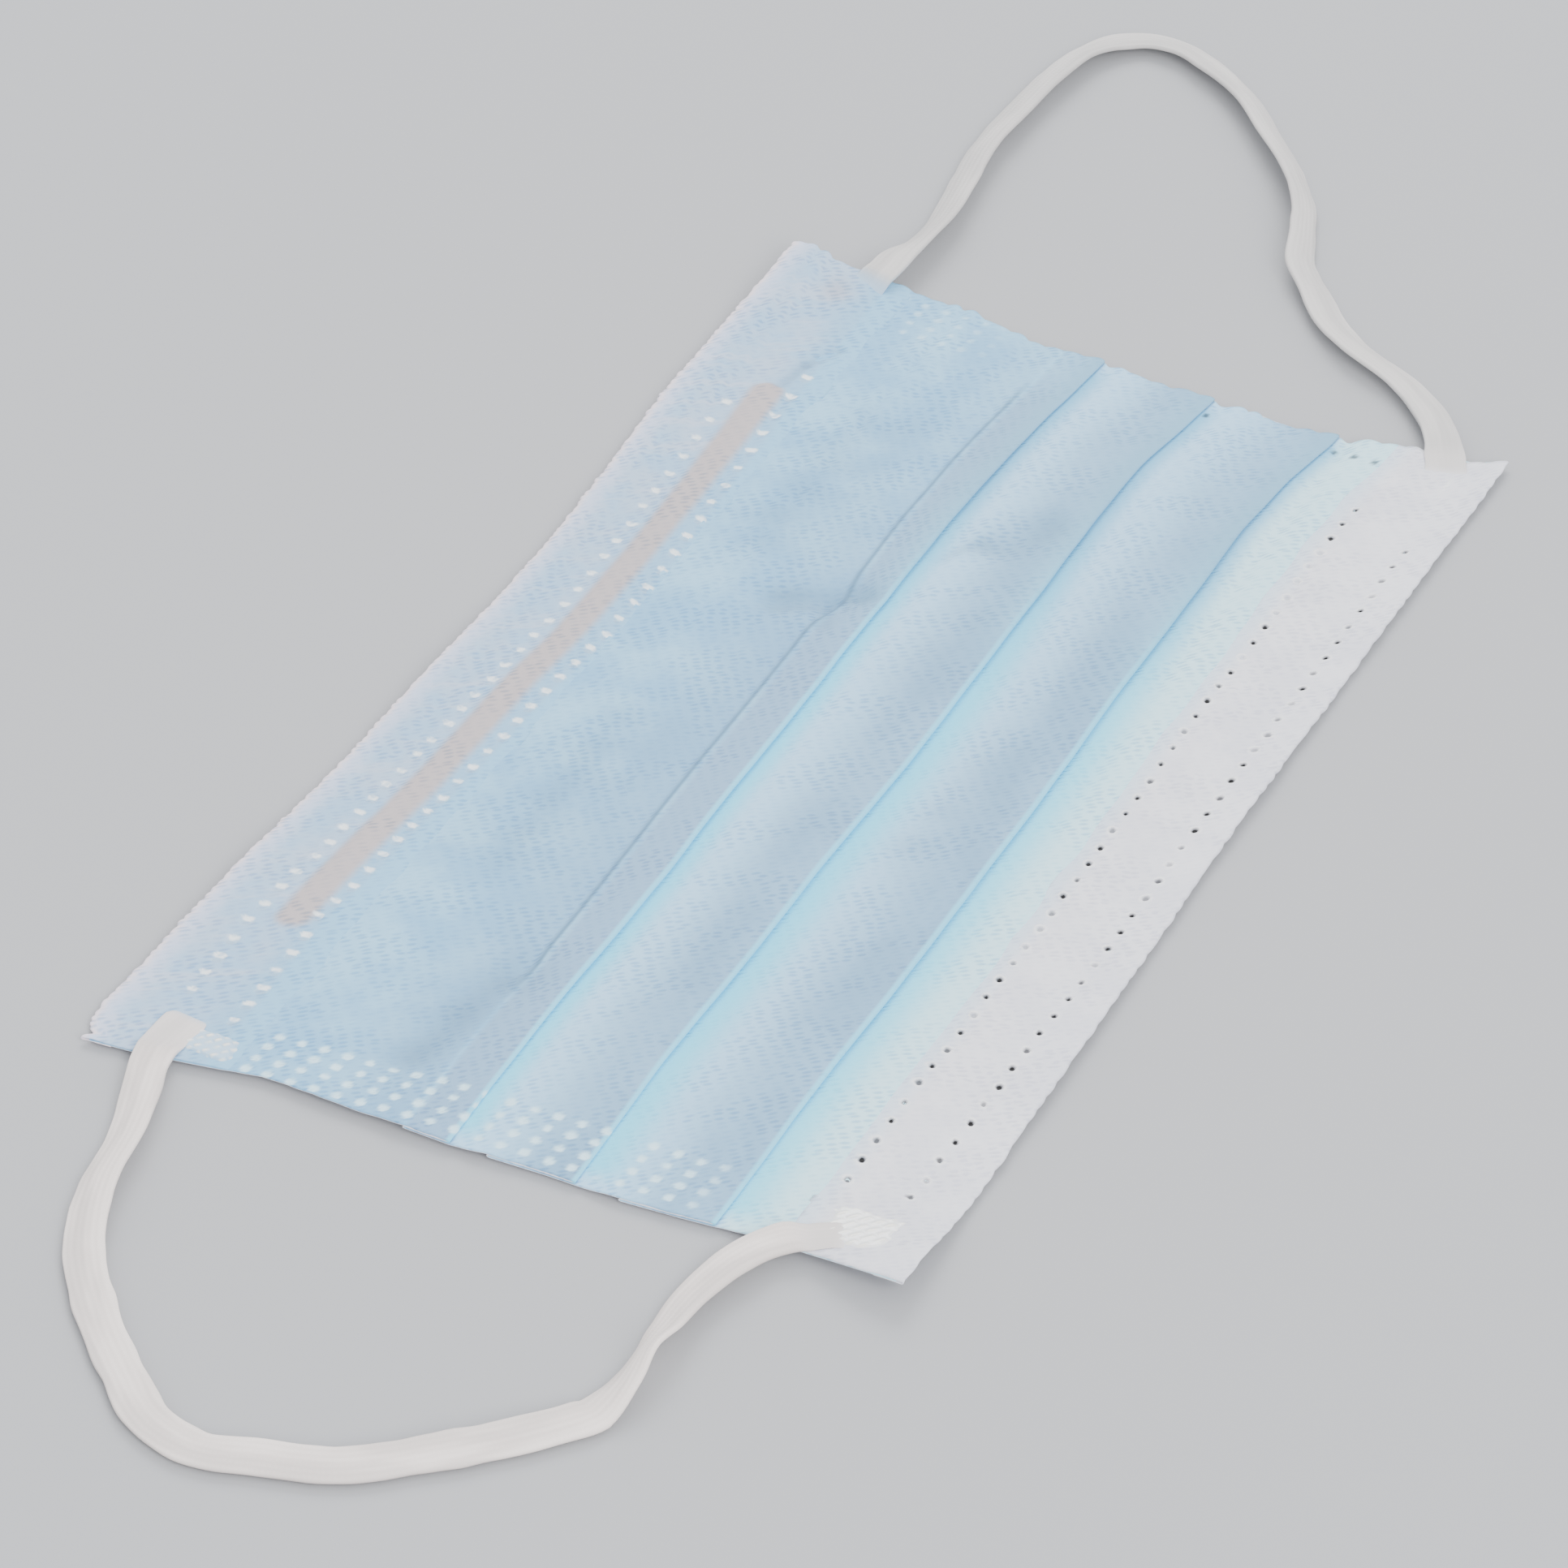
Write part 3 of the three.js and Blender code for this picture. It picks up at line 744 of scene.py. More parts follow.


# %% [markdown]
# ## The nose hem
# Beside the strip run two rows of weld dots that hold it in place. Each is a round dimple with a
# faint ring, with painted shade on one side and a painted glint on the other. The hem's long edge
# is crimped and looks thicker and pinker, because the cloth is doubled there. The bulge over the
# strip is real shape: the strip is 0.4 mm thick.
# %% Dots beside the strip
NOSE_PITCH = [
    (-80, 3.2), (-15, 3.2), (0, 3.6), (22, 3.8), (40, 4.2), (55, 4.7),
]  # x, step to the next dot
OUTER_ROW = [
    (-76, 6.6), (-62, 6.2), (-47, 6.9), (-28, 6.9), (-18, 7.7), (10, 8.0), (30, 7.6), (50, 7.2),
]  # x, distance from the nose edge
INNER_ROW = [
    (-80, 13.0), (-66, 12.5), (-60, 12.3), (-54, 13.1), (-36, 13.5), (-18, 14.2), (2, 15.2),
    (20, 15.2), (34, 14.5), (48, 13.7), (60, 13.0), (72, 12.8),
]  # x, distance from the nose edge
NOSE_DOT = 0.70


def nose_dots(row, start, end, seed):
    """A row of weld dots from start to end, whose steps grow along it."""
    xs = [start]
    while xs[-1] < end:
        xs.append(xs[-1] + float(read_table(xs[-1], NOSE_PITCH)))
    return dot_grid(xs, read_table(np.array(xs), row), seed, jitter=0.2, faint=0.35)


# %% Build the nose hem
hem_columns = np.linspace(-1, 1, 740)
rows = hem_rows(HEM_WIDTH["nose"], (15.0, 13.6, 12.6, 7.6, 6.6), 0.24, 0.42)
hem_x = HALF_CUT * hem_columns
wide, s = np.meshgrid(hem_x, rows, indexing="ij")
over_strip = strip_share(wide, s, 1.6)
inner_line = read_table(wide, INNER_ROW)
hem_dots = nose_dots(OUTER_ROW, -75.5, 52, 41) + nose_dots(INNER_ROW, -79.0, 58, 43)
pressed, ring = dot_field(wide, s, hem_dots, (NOSE_DOT, NOSE_DOT), rim=0.28)
# glint is a painted highlight on the lit side of each dot, and shaded is painted shade on the side
# away from the light.
glint, _ = dot_field(wide - 0.50, s, hem_dots, (NOSE_DOT * 0.52, NOSE_DOT * 0.95))
shaded, _ = dot_field(wide + 0.25, s, hem_dots, (NOSE_DOT * 0.62, NOSE_DOT * 0.7))
tucked = TUCK * (1 - smooth((HEM_WIDTH["nose"] - s) / 1.8))
streaks = ripple(0.25 * wide, s, 2.2, 47) * smooth((s - 1) / 3)
raised = over_strip * (STRIP["thickness"] + 0.02) - tucked + 0.035 * streaks
edge_crimp = 0.10 * (crimps(wide, 1.35, 51) + 0.8 * crimps(wide, 3.3, 53)) * smooth((4 - s) / 4)
raised = raised + 0.07 * ring - 0.16 * pressed + edge_crimp
upper, cut = hem_grid("nose", hem_columns, rows, raised, HEM / 2)
under, _ = hem_grid("nose", hem_columns, rows, raised, -HEM / 2)
n_rolled = upper.shape[1] - len(rows)


def with_roll(grid, fill=0.0):
    """Adds the columns' rolled and turned rows to a grid of numbers."""
    return np.concatenate([grid, np.full((len(grid), n_rolled), fill)], axis=1)


nose_marks = {
    "strip": with_roll(strip_share(wide, s, 1.2)),
    # The weld mark here is mostly the painted glint, over a faint tone of the pressed dot.
    "weld": with_roll(np.clip(0.15 * pressed + 1.3 * glint, 0, 1)),
    "shaded": with_roll(shaded * (1 - glint)),
    "doubled": with_roll(smooth((3.8 - s) / 3.6), 1.0),
    "edge": with_roll(smooth((1.1 - s) / 1.0), 1.0),
    "sheer": with_roll(smooth((s - 9) / 4)),
    "blue": with_roll(smooth((s - inner_line - 0.2) / 1.0)),
    # Painted shade in the dents.
    "dent_shade": np.clip(dent_at(upper[..., 0], upper[..., 1]) / 0.4, 0, 1),
    "pink": np.exp(-(((upper[..., 0] - 81.2) / 2.6) ** 2) - ((upper[..., 1] - 38.9) / 1.9) ** 2),
}
corner_notch = 0.8 * np.exp(-(((hem_x + 85.7) / 0.5) ** 2))
crimp_all = 0.28 * (crimps(hem_x, 1.35, 55) - 0.5) + 0.22 * (crimps(hem_x, 3.3, 57) - 0.5)
for grid in (upper, under):
    grid[:, :, 1] += (crimp_all - corner_notch)[:, None] * smooth((grid[:, :, 1] - 44.5) / 2.5)
nose_hem_cloth = closed_sheet("nose_hem_cloth", upper, under, cut, nose_marks, keep=(2, 2))

# %% [markdown]
# ## The nose strip
# The strip is a flat bendable core about 120 mm long, in a tan coat. It lies loose in the hem and
# hardly shows as a piece of its own, but it is there: between the cloth and the hem.
# %% Build the strip
strip_x = np.linspace(STRIP["near"], STRIP["far"], 160)
strip_w = np.linspace(-1, 1, 9)
end_gap = np.minimum(strip_x - STRIP["near"], STRIP["far"] - strip_x)
half = STRIP["width"] / 2 - 0.15
end_round = np.sqrt(np.clip(1 - (1 - np.clip(end_gap / half, 0, 1)) ** 2, 0.02, 1))
strip_s = read_table(strip_x, STRIP_LINE)[:, None] + strip_w[None] * (half * end_round)[:, None]
strip_along = np.broadcast_to((strip_x / HALF_CUT)[:, None], strip_s.shape)
strip_bottom = BASE + CLOTH / 2 + 0.03
crown = 0.10 * (1 - strip_w[None] ** 2)
strip_top_z = strip_bottom + STRIP["thickness"] - 0.14 + crown + 0 * strip_s
strip_upper = lay(strip_along, HALF_HEIGHT - strip_s, strip_top_z)
strip_under = lay(strip_along, HALF_HEIGHT - strip_s, strip_bottom + 0 * strip_s)
strip_cut = np.stack([HALF_CUT * strip_along, strip_s], axis=-1)
nose_strip = closed_sheet("nose_strip", strip_upper, strip_under, strip_cut)

# %% [markdown]
# ## The chin hem
# Two rows of teeth have punched through this hem. Each hole is a small pit with a lip pushed up
# round it, and the lip gets a painted highlight. The pits are painted dark as shade: some went
# right through and look black, and others hardly marked the cloth.
# %% Build the chin hem
CHIN_PITCH = 3.47
# Each row says x and the distance from the chin edge.
CHIN_INNER = [(-73, 11.9), (-40, 11.7), (-10, 11.4), (70, 11.4)]
CHIN_OUTER = [(-71, 5.5), (-47, 4.7), (-20, 4.0), (5, 3.5), (66, 3.5)]
chin_dots = []
for row, start, end, seed in ((CHIN_INNER, -73.0, 70.5, 61), (CHIN_OUTER, -71.4, 67, 63)):
    xs = np.arange(start, end, CHIN_PITCH)
    chin_dots += dot_grid(xs, read_table(xs, row), seed)
rng = np.random.default_rng(67)
darkness = rng.choice((1.0, 0.85, 0.65, 0.4), len(chin_dots), p=(0.34, 0.30, 0.21, 0.15))
darkness = [
    dark * (0.25 if x > 28 and s > 8 and dark < 0.9 else 1)
    for dark, (x, s, *_) in zip(darkness, chin_dots)
]  # the far holes of the inner row hardly marked the cloth
at_holes = [x / HALF_BODY + np.linspace(-0.0075, 0.0075, 9) for x, *_ in chin_dots]
chin_columns = np.unique(np.concatenate([np.linspace(-1, 1, 240), *at_holes]))
rows = hem_rows(HEM_WIDTH["chin"], (11.6, 5.0, 4.0), 0.17, 0.5)
wide, s = np.meshgrid(HALF_BODY * chin_columns, rows, indexing="ij")
holes, lips = dot_field(wide, s, chin_dots, (0.44, 0.36), rim=0.35)
dark_dots = [(x, y, size, shade) for (x, y, size, _), shade in zip(chin_dots, darkness)]
hole_shade, _ = dot_field(wide, s, dark_dots, (0.46, 0.36))
tucked = TUCK * (1 - smooth((HEM_WIDTH["chin"] - s) / 2.0))
raised = -tucked + 0.03 * ripple(0.3 * wide, s, 3.0, 69) + 0.10 * lips - 0.18 * holes
upper, cut = hem_grid("chin", chin_columns, rows, raised, HEM / 2)
under, _ = hem_grid("chin", chin_columns, rows, raised, -HEM / 2)
n_rolled = upper.shape[1] - len(rows)
# The far band's end leaves a bright line.
seam = np.exp(-(((wide - 80.0) / 1.3) ** 2) - ((s - 4.6) / 0.22) ** 2)
# The pits get painted shade and the lips a painted highlight; the bright line at the far band's end
# shares the lips' mark.
chin_marks = {
    "punched_hole_shade": with_roll(hole_shade),
    "lip_highlight_and_seam": with_roll(np.clip(lips * (1 - holes) + seam, 0, 1)),
    "sheer": with_roll(smooth((s - 10.5) / 3)),
}
for grid in (upper, under):
    crimp = 0.22 * (crimps(grid[:, :, 0], 3.1, 71) - 0.5)
    grid[:, :, 1] -= crimp * smooth((-43.5 - grid[:, :, 1]) / 3)
chin_hem_cloth = closed_sheet("chin_hem_cloth", upper, under, cut, chin_marks, keep=(2, 1))

# %% [markdown]
# ## The ear bands
# The band is a flat tube of fine knit with soft round edges and shallow ribs along it. At both
# ends it is welded flat into the hem: it gets thinner and a little wider, and its surface melts.
# The mesh is a row of closed rings. Each ring stands square to the route and rolls with its tilt.
# %% Build a band along its route
RIBS = 6
RING = 28
HEM_REST = 0.40  # the real height of a band on a hem
WELD_LENGTH = 5.5
FADES = {"ear_band_near": (0.5, 2.0), "ear_band_far": (2.6, 7.6)}  # how far each end melts away


def band_rings(rows, fades):
    """Ring centres and ring points of a band, in mm, and how far each ring has melted and gone."""
    x, y, rest, tilt = rows.T
    tilt = np.radians(tilt)
    ahead = np.gradient(rows[:, :2], axis=0)
    ahead /= np.linalg.norm(ahead, axis=1)[:, None]
    left = np.stack([-ahead[:, 1], ahead[:, 0], 0 * x], axis=1)
    up = np.array([0.0, 0.0, 1.0])
    walked = walked_along(rows[:, :2])
    from_end = np.minimum(walked, walked[-1] - walked)
    melted = 1 - smooth((from_end - WELD_LENGTH) / 2.5)
    gone = smooth((fades[0] - walked) / 2 + 0.5)
    gone = gone + smooth((fades[1] - walked[-1] + walked) / 2 + 0.5)
    half_width = BAND_WIDTH / 2 * (1 + 0.03 * ripple(walked, 0 * walked, 9, 81) + 0.10 * melted)
    half_width = half_width + 0.035 * ripple(walked, 0 * walked, 2.6, 83)
    half_width = half_width * (0.55 + 0.45 * smooth(from_end / 1.2))
    half_thick = BAND_THICKNESS / 2 * (1 - 0.72 * melted) * (1 - 0.7 * gone)
    right_ground, left_ground = (
        ground_at(x + w * left[:, 0], y + w * left[:, 1]) for w in (-BAND_WIDTH / 2, BAND_WIDTH / 2)
    )
    higher = np.maximum(left_ground, right_ground)
    level = (left_ground + right_ground) / 2 * melted + higher * (1 - melted)
    ground = level * smooth(rest / CAD_HEM_TOP)
    z = HEM_REST * rest / CAD_HEM_TOP + ground - 0.30 * gone
    z = z + half_width * np.abs(np.sin(tilt)) + half_thick * np.cos(tilt)
    # A welded end lies on the slope.
    tilt = tilt + np.arctan2(left_ground - right_ground, BAND_WIDTH) * melted
    centres = np.stack([x, y, z], axis=1)
    across = left * np.cos(tilt)[:, None] + up * np.sin(tilt)[:, None]
    face = up * np.cos(tilt)[:, None] - left * np.sin(tilt)[:, None]
    angle = np.linspace(0, math.tau, RING, endpoint=False)
    w = np.sign(np.cos(angle)) * np.abs(np.cos(angle)) ** 0.75
    h = np.sign(np.sin(angle)) * np.abs(np.sin(angle)) ** 0.35
    ribs = 1 + 0.02 * np.cos(RIBS * math.pi * w) * (np.abs(w) < 0.9)
    rings = (
        centres[:, None]
        + across[:, None] * (w[None] * half_width[:, None])[..., None]
        + face[:, None] * (h[None] * ribs[None] * half_thick[:, None])[..., None]
    )
    cut = np.stack([w[None] * half_width[:, None], walked[:, None] + 0 * w[None]], axis=-1)
    return centres, rings, cut, melted, gone


def band_mesh(name, rows):
    """A closed band, with the numbers its finish needs, and the line that it follows."""
    centres, rings, cut, melted, gone = band_rings(rows, FADES[name])
    count = len(rings)
    number = np.arange(count * RING).reshape(count, RING)
    turned = np.roll(number, -1, axis=1)
    quads = np.stack([number[:-1], turned[:-1], turned[1:], number[1:]], axis=-1).reshape(-1, 4)
    faces = quads[:, ::-1].tolist() + [number[0].tolist(), number[-1][::-1].tolist()]
    mesh = bpy.data.meshes.new(name)
    mesh.from_pydata((rings.reshape(-1, 3) * MM).tolist(), [], faces)
    mesh.polygons.foreach_set("use_smooth", [True] * len(faces))
    store_number(mesh, "melted", np.repeat(melted, RING))
    store_number(mesh, "gone", np.repeat(gone, RING))
    store_number(mesh, "on_nose", np.repeat(smooth(centres[:, 1] / 10), RING))
    store_cut(mesh, cut.reshape(-1, 2))
    return add_piece(name, mesh), centres


ear_band_near, near_line = band_mesh("ear_band_near", near_rows)
ear_band_far, far_line = band_mesh("ear_band_far", far_rows)

# %% [markdown]
# ## The corner welds
# A heated tool presses each band's end into the hem. At the two near corners it leaves a patch of
# short ridges in the melted cloth, in slanting rows, and at the far ones the band only fades out.
# Each patch is a thin film, thick at its middle and sinking into the hem at its border.
# %% Build the ridged patches
PATCHES = [
    ("weld_patch_near_chin", -79.7, -39.3, 3.9, 4.8, 1.00, 1.95),
    ("weld_patch_near_nose", -83.3, 35.2, 2.3, 4.0, 0.80, 1.15),
]  # name, x, y, reach in x, reach in y, strength, from one ridge of a row to the next
RIDGE_LEAN, RIDGE_ROWS, RIDGE_HEIGHT = -40, 1.11, 0.14
PATCH_POINTS = 76


def ridge_height(x, y, apart):
    """Short rounded ridges in slanting rows, each row shifted from the last."""
    turn = math.radians(RIDGE_LEAN)
    along = x * math.cos(turn) + y * math.sin(turn)
    across = y * math.cos(turn) - x * math.sin(turn)
    row = np.round(across / RIDGE_ROWS)
    high = np.cos(math.pi * np.clip((across / RIDGE_ROWS - row) * 1.3, -0.5, 0.5))
    place = along / apart + 0.43 * row
    long = np.cos(math.pi * np.clip((place - np.round(place)) * 1.2, -0.5, 0.5))
    return high**2 * np.sqrt(np.clip(long, 0, 1))


def weld_patch(name, cx, cy, reach_x, reach_y, strength, apart):
    """A film with ridges over the end of a band."""
    share = np.linspace(-1, 1, PATCH_POINTS)
    u, v = np.meshgrid(share * reach_x, share * reach_y, indexing="ij")
    x, y = cx + u, cy + v
    out = ((u / reach_x) ** 4 + (v / reach_y) ** 4) ** 0.25 + 0.07 * ripple(x, y, 4, 91)
    body = smooth((1 - out) / 0.3)
    uneven = 0.75 + 0.25 * ripple(x, y, 2.4, 93)
    ridges = ridge_height(u, v, apart) * smooth((1 - out) / 0.15) * strength * uneven
    film = HEM_REST + 0.02 + 0.10 * body + RIDGE_HEIGHT * ridges - 0.30 * (1 - body)
    upper = np.stack([x, y, film + ground_at(x, y)], axis=-1)
    under = upper.copy()
    under[..., 2] -= 0.12
    cut = np.stack([u, v], axis=-1)
    return closed_sheet(name, upper, under, cut, {"ridge": ridges, "film": body}, keep=(4, 4))


patches = [weld_patch(*row) for row in PATCHES]

# %% [markdown]
# ## Finishes
# Non-woven cloth is made of fine fibres pressed together by small hot dashes, set in slanting
# rows 0.7 mm apart. The dashes are dents with slightly darker, smoother cloth in
# them, and between them the fibres make a soft fuzz. Both are far finer than the mesh, so they
# are drawn by the material from the place on the flat cloth, and the mesh carries everything
# larger. The helpers below make a node, join it up and hand back the socket to use next.
# %% Helpers for materials
def tone(red, green, blue):
    """A colour given as 0 to 255 on a screen, as the linear numbers that a shader takes."""
    shares = [v / 255 for v in (red, green, blue)]
    return (*[s / 12.92 if s <= 0.04045 else ((s + 0.055) / 1.055) ** 2.4 for s in shares], 1.0)


def join(tree, value, socket):
    """Sets a socket to a number or colour, or links another node's output to it."""
    if isinstance(value, bpy.types.NodeSocket):
        tree.links.new(value, socket)
    else:
        socket.default_value = value


def node(tree, kind, inputs=(), **settings):
    """Adds a node, sets it and joins its inputs, given as (name or number, value)."""
    made = tree.nodes.new("ShaderNode" + kind)
    for key, value in settings.items():
        setattr(made, key, value)
    for key, value in inputs:
        join(tree, value, made.inputs[key])
    return made


def compute(tree, operation, *values, kind="Math"):
    return node(tree, kind, enumerate(values), operation=operation).outputs[0]


def mark_of(tree, name, strength=1.0):
    """A number stored on the mesh, times a strength."""
    stored = node(tree, "Attribute", attribute_name=name).outputs["Fac"]
    return compute(tree, "MULTIPLY", stored, strength)


def blend_tones(tree, share, first, second, how="MIX"):
    """A share of the second tone over the first."""
    inputs = [("Factor", share), (6, first), (7, second)]
    return node(tree, "Mix", inputs, data_type="RGBA", blend_type=how).outputs[2]


def tint(tree, share, colour, by):
    """A share of the colour is multiplied by a second one, which darkens it without hiding it."""
    return blend_tones(tree, share, colour, by, "MULTIPLY")


def ramp(tree, value, low, high, to_low=0.0, to_high=1.0):
    """Eases a value from one span of numbers to another."""
    names = ("Value", "From Min", "From Max", "To Min", "To Max")
    inputs = zip(names, (value, low, high, to_low, to_high))
    return node(tree, "MapRange", inputs, interpolation_type="SMOOTHSTEP").outputs[0]


def noise(tree, place, scale, detail=2.0, rough=0.5):
    inputs = [("Vector", place), ("Scale", scale), ("Detail", detail), ("Roughness", rough)]
    return node(tree, "TexNoise", inputs, noise_dimensions="2D").outputs["Fac"]


# %% The embossed texture of the cloth
DASH = {"lean": 51, "apart": 1.7, "rows": 0.72, "length": 0.58, "width": 0.19}


def turned_place(tree, degrees, stretch=(1, 1, 1)):
    """The place on the flat cloth in mm, turned by an angle and then stretched."""
    place = node(tree, "UVMap", uv_map="cut").outputs[0]
    turned = node(tree, "Mapping", [("Vector", place), ("Rotation", (0, 0, math.radians(degrees)))])
    return node(tree, "Mapping", [("Vector", turned.outputs[0]), ("Scale", stretch)]).outputs[0]


def clouds(tree, degrees, stretch, *span):
    """Soft uneven shares, stretched along an angle. span is what `ramp` takes."""
    return ramp(tree, noise(tree, turned_place(tree, degrees, stretch), 1.0, 3.0), *span)


def dashes(tree):
    """1 inside the hot-pressed dashes, 0 between them."""
    grid = (1 / DASH["apart"], 1 / DASH["rows"], 1)
    place = turned_place(tree, -DASH["lean"], grid)
    inputs = [("Vector", place), ("Scale", 1.0), ("Randomness", 0.42)]
    cell = node(tree, "TexVoronoi", inputs, voronoi_dimensions="2D").outputs["Position"]
    away = compute(tree, "SUBTRACT", place, cell, kind="VectorMath")
    size = (DASH["apart"] / DASH["length"], DASH["rows"] / DASH["width"], 0)
    scaled = compute(tree, "MULTIPLY", away, size, kind="VectorMath")
    length = node(tree, "VectorMath", [(0, scaled)], operation="LENGTH").outputs["Value"]
    uneven = clouds(tree, -DASH["lean"], (0.10, 0.22, 1), 0.38, 0.62, 0.3, 1.0)
    return compute(tree, "MULTIPLY", ramp(tree, length, 0.4, 1.4, 1.0, 0.0), uneven)


def fibres(tree):
    """Fine crossing fibres, around 0.5."""
    one = noise(tree, turned_place(tree, 24, (1.2, 6.0, 1)), 1.0, 3.0, 0.6)
    other = noise(tree, turned_place(tree, -38, (1.2, 6.0, 1)), 1.0, 3.0, 0.6)
    return compute(tree, "MULTIPLY", compute(tree, "ADD", one, other), 0.5)


def relief(tree, height, depth_mm, strength=1.0):
    """Bump of a given depth in mm, to go into a shader's Normal."""
    inputs = [("Height", height), ("Distance", depth_mm * MM), ("Strength", strength)]
    return node(tree, "Bump", inputs).outputs[0]


def emboss(tree, pressed):
    """The bump of the cloth: raised fibres and pressed dashes."""
    height = compute(tree, "SUBTRACT", compute(tree, "MULTIPLY", fibres(tree), 0.7), pressed)
    return relief(tree, height, 0.07, 0.8)


def dress(tree, shader, colour, bump):
    """Gives a shader its colour and its bump."""
    join(tree, colour, shader.inputs["Base Color"])
    join(tree, bump, shader.inputs["Normal"])


def finish_named(name, roughness, sheen=0.0):
    """A new material, its nodes and its shader."""
    material = bpy.data.materials.new(name)
    material.use_nodes = True
    shader = material.node_tree.nodes["Principled BSDF"]
    shader.inputs["Roughness"].default_value = roughness
    shader.inputs["Specular IOR Level"].default_value = 0.3
    shader.inputs["Sheen Weight"].default_value = sheen
    shader.inputs["Sheen Roughness"].default_value = 0.6
    return material, material.node_tree, shader


# %% [markdown]
# ## The blue outer cloth
# One colour isn't enough: the cloth is so thin that its colour depends on how many layers lie
# there. The stored marks mix the tones in order. First come soft mottling and the darker stack,
# then the pale single layer, painted shade in the dents and the crease, a painted glow beside each
# fold, painted light on the rolled edges, the shiny weld dots and painted shade in the holes.
# %% Finish of the blue ply
# The crease, dent and hole tones are painted shade, the band tones a painted glow, the rim tone a
# painted highlight and the far rim tone painted shade. The far copies are for the far half, where
# the light is softer.
BLUE = {
    "body": tone(134, 190, 228), "mottle": tone(158, 210, 240), "shade": tone(131, 176, 211),
    "narrow": tone(140, 178, 210), "crease": tone(100, 142, 172), "pale": tone(176, 222, 252),
    "stack": tone(132, 174, 206), "last": tone(203, 242, 253), "band": tone(106, 224, 255),
    "band far": tone(112, 189, 227), "rim": tone(134, 222, 252), "rim far": tone(132, 182, 210),
    "dent_shade": tone(112, 154, 186), "weld": tone(204, 240, 254), "dash": tone(196, 214, 232),
    "punched_hole_shade": tone(30, 48, 62),
}


def blue_finish():
    material, tree, shader = finish_named("outer_cloth_blue", 0.78, sheen=0.06)
    pressed = dashes(tree)
    mottle = ramp(tree, noise(tree, turned_place(tree, 10), 0.09, 3.0, 0.6), 0.3, 0.7)
    colour = blend_tones(tree, mottle, BLUE["body"], BLUE["mottle"])
    for mark, strength in (("shade", 0.75), ("narrow", 1.0), ("pale", 1.0)):
        colour = blend_tones(tree, mark_of(tree, mark, strength), colour, BLUE[mark])
    cloud = clouds(tree, 4, (0.05, 0.11, 1), 0.35, 0.65, 0.78, 1.0)
    stacked = compute(tree, "MULTIPLY", mark_of(tree, "stack"), cloud)
    colour = blend_tones(tree, stacked, colour, BLUE["stack"])
    # In this loop the dent and crease tones are painted shade.
    for mark, strength in (("last", 1.0), ("dent_shade", 0.85), ("crease", 0.8)):
        colour = blend_tones(tree, mark_of(tree, mark, strength), colour, BLUE[mark])
    colour = tint(tree, compute(tree, "MULTIPLY", pressed, 0.75), colour, BLUE["dash"])
    # A painted glow beside each fold, then painted light on the rolled edges: a highlight in the
    # near half, shade in the far half.
    glow = blend_tones(tree, mark_of(tree, "far"), BLUE["band"], BLUE["band far"])
    colour = blend_tones(tree, mark_of(tree, "band", 0.9), colour, glow)
    rolled = blend_tones(tree, mark_of(tree, "far"), BLUE["rim"], BLUE["rim far"])
    colour = blend_tones(tree, mark_of(tree, "rim", 0.85), colour, rolled)
    colour = blend_tones(tree, mark_of(tree, "weld", 0.95), colour, BLUE["weld"])
    # Painted shade in the punched holes.
    colour = blend_tones(tree, mark_of(tree, "punched_hole_shade"), colour, BLUE["punched_hole_shade"])
    dress(tree, shader, colour, emboss(tree, pressed))
    join(tree, ramp(tree, mark_of(tree, "weld"), 0.2, 0.9, 0.78, 0.36), shader.inputs["Roughness"])
    return material


outer_ply.data.materials.append(blue_finish())

# %% [markdown]
# ## The white cloth
# The same kind of cloth, white and thinner. As a hem it is sheer: near its free edge the blue
# shows through, and over the strip the tan does. At the long edge it is doubled and whiter.
# %% Finish of the white ply and the hems
# The shaded and fold tones are painted shade, beside the nose dots and in the dents. On the nose
# hem the weld tone carries the painted glint of the dots, the lip tone is a painted highlight and
# the hole tone painted shade.
WHITE = {
    "plain": tone(238, 238, 245), "dash": tone(206, 208, 222), "nose": tone(160, 197, 229),
    "doubled": tone(214, 221, 243), "edge": tone(238, 226, 232), "sheer": tone(146, 194, 227),
    "strip": tone(190, 175, 172), "weld": tone(246, 253, 255),
    "chin sheer": tone(212, 231, 248), "lip_highlight_and_seam": tone(252, 252, 253), "punched_hole_shade": tone(8, 8, 10),
    "streak": tone(196, 209, 229), "shaded": tone(122, 162, 195), "fold": tone(118, 150, 178),
    "pink": tone(176, 180, 194), "blue": tone(146, 201, 235),
}


def white_finish(name, plain, changes, dash=tone(232, 233, 240), streaky=0.0):
    """White cloth whose tone changes by stored marks: (mark, strength, tone) in order."""
    material, tree, shader = finish_named(name, 0.8, sheen=0.06)
    pressed = dashes(tree)
    mottle = ramp(tree, noise(tree, turned_place(tree, 10), 0.12, 3.0, 0.6), 0.3, 0.7, 0, 0.35)
    colour = blend_tones(tree, mottle, plain, WHITE["dash"])
    if streaky:
        bands = clouds(tree, -62, (0.05, 0.55, 1), 0.5, 0.72, 0, streaky)
        colour = blend_tones(tree, bands, colour, WHITE["streak"])
    for mark, strength, change in changes:
        colour = blend_tones(tree, mark_of(tree, mark, strength), colour, change)
    colour = tint(tree, compute(tree, "MULTIPLY", pressed, 0.75), colour, dash)
    dress(tree, shader, colour, emboss(tree, pressed))
    return material


inner_ply.data.materials.append(white_finish("inner_cloth_white", WHITE["plain"], []))
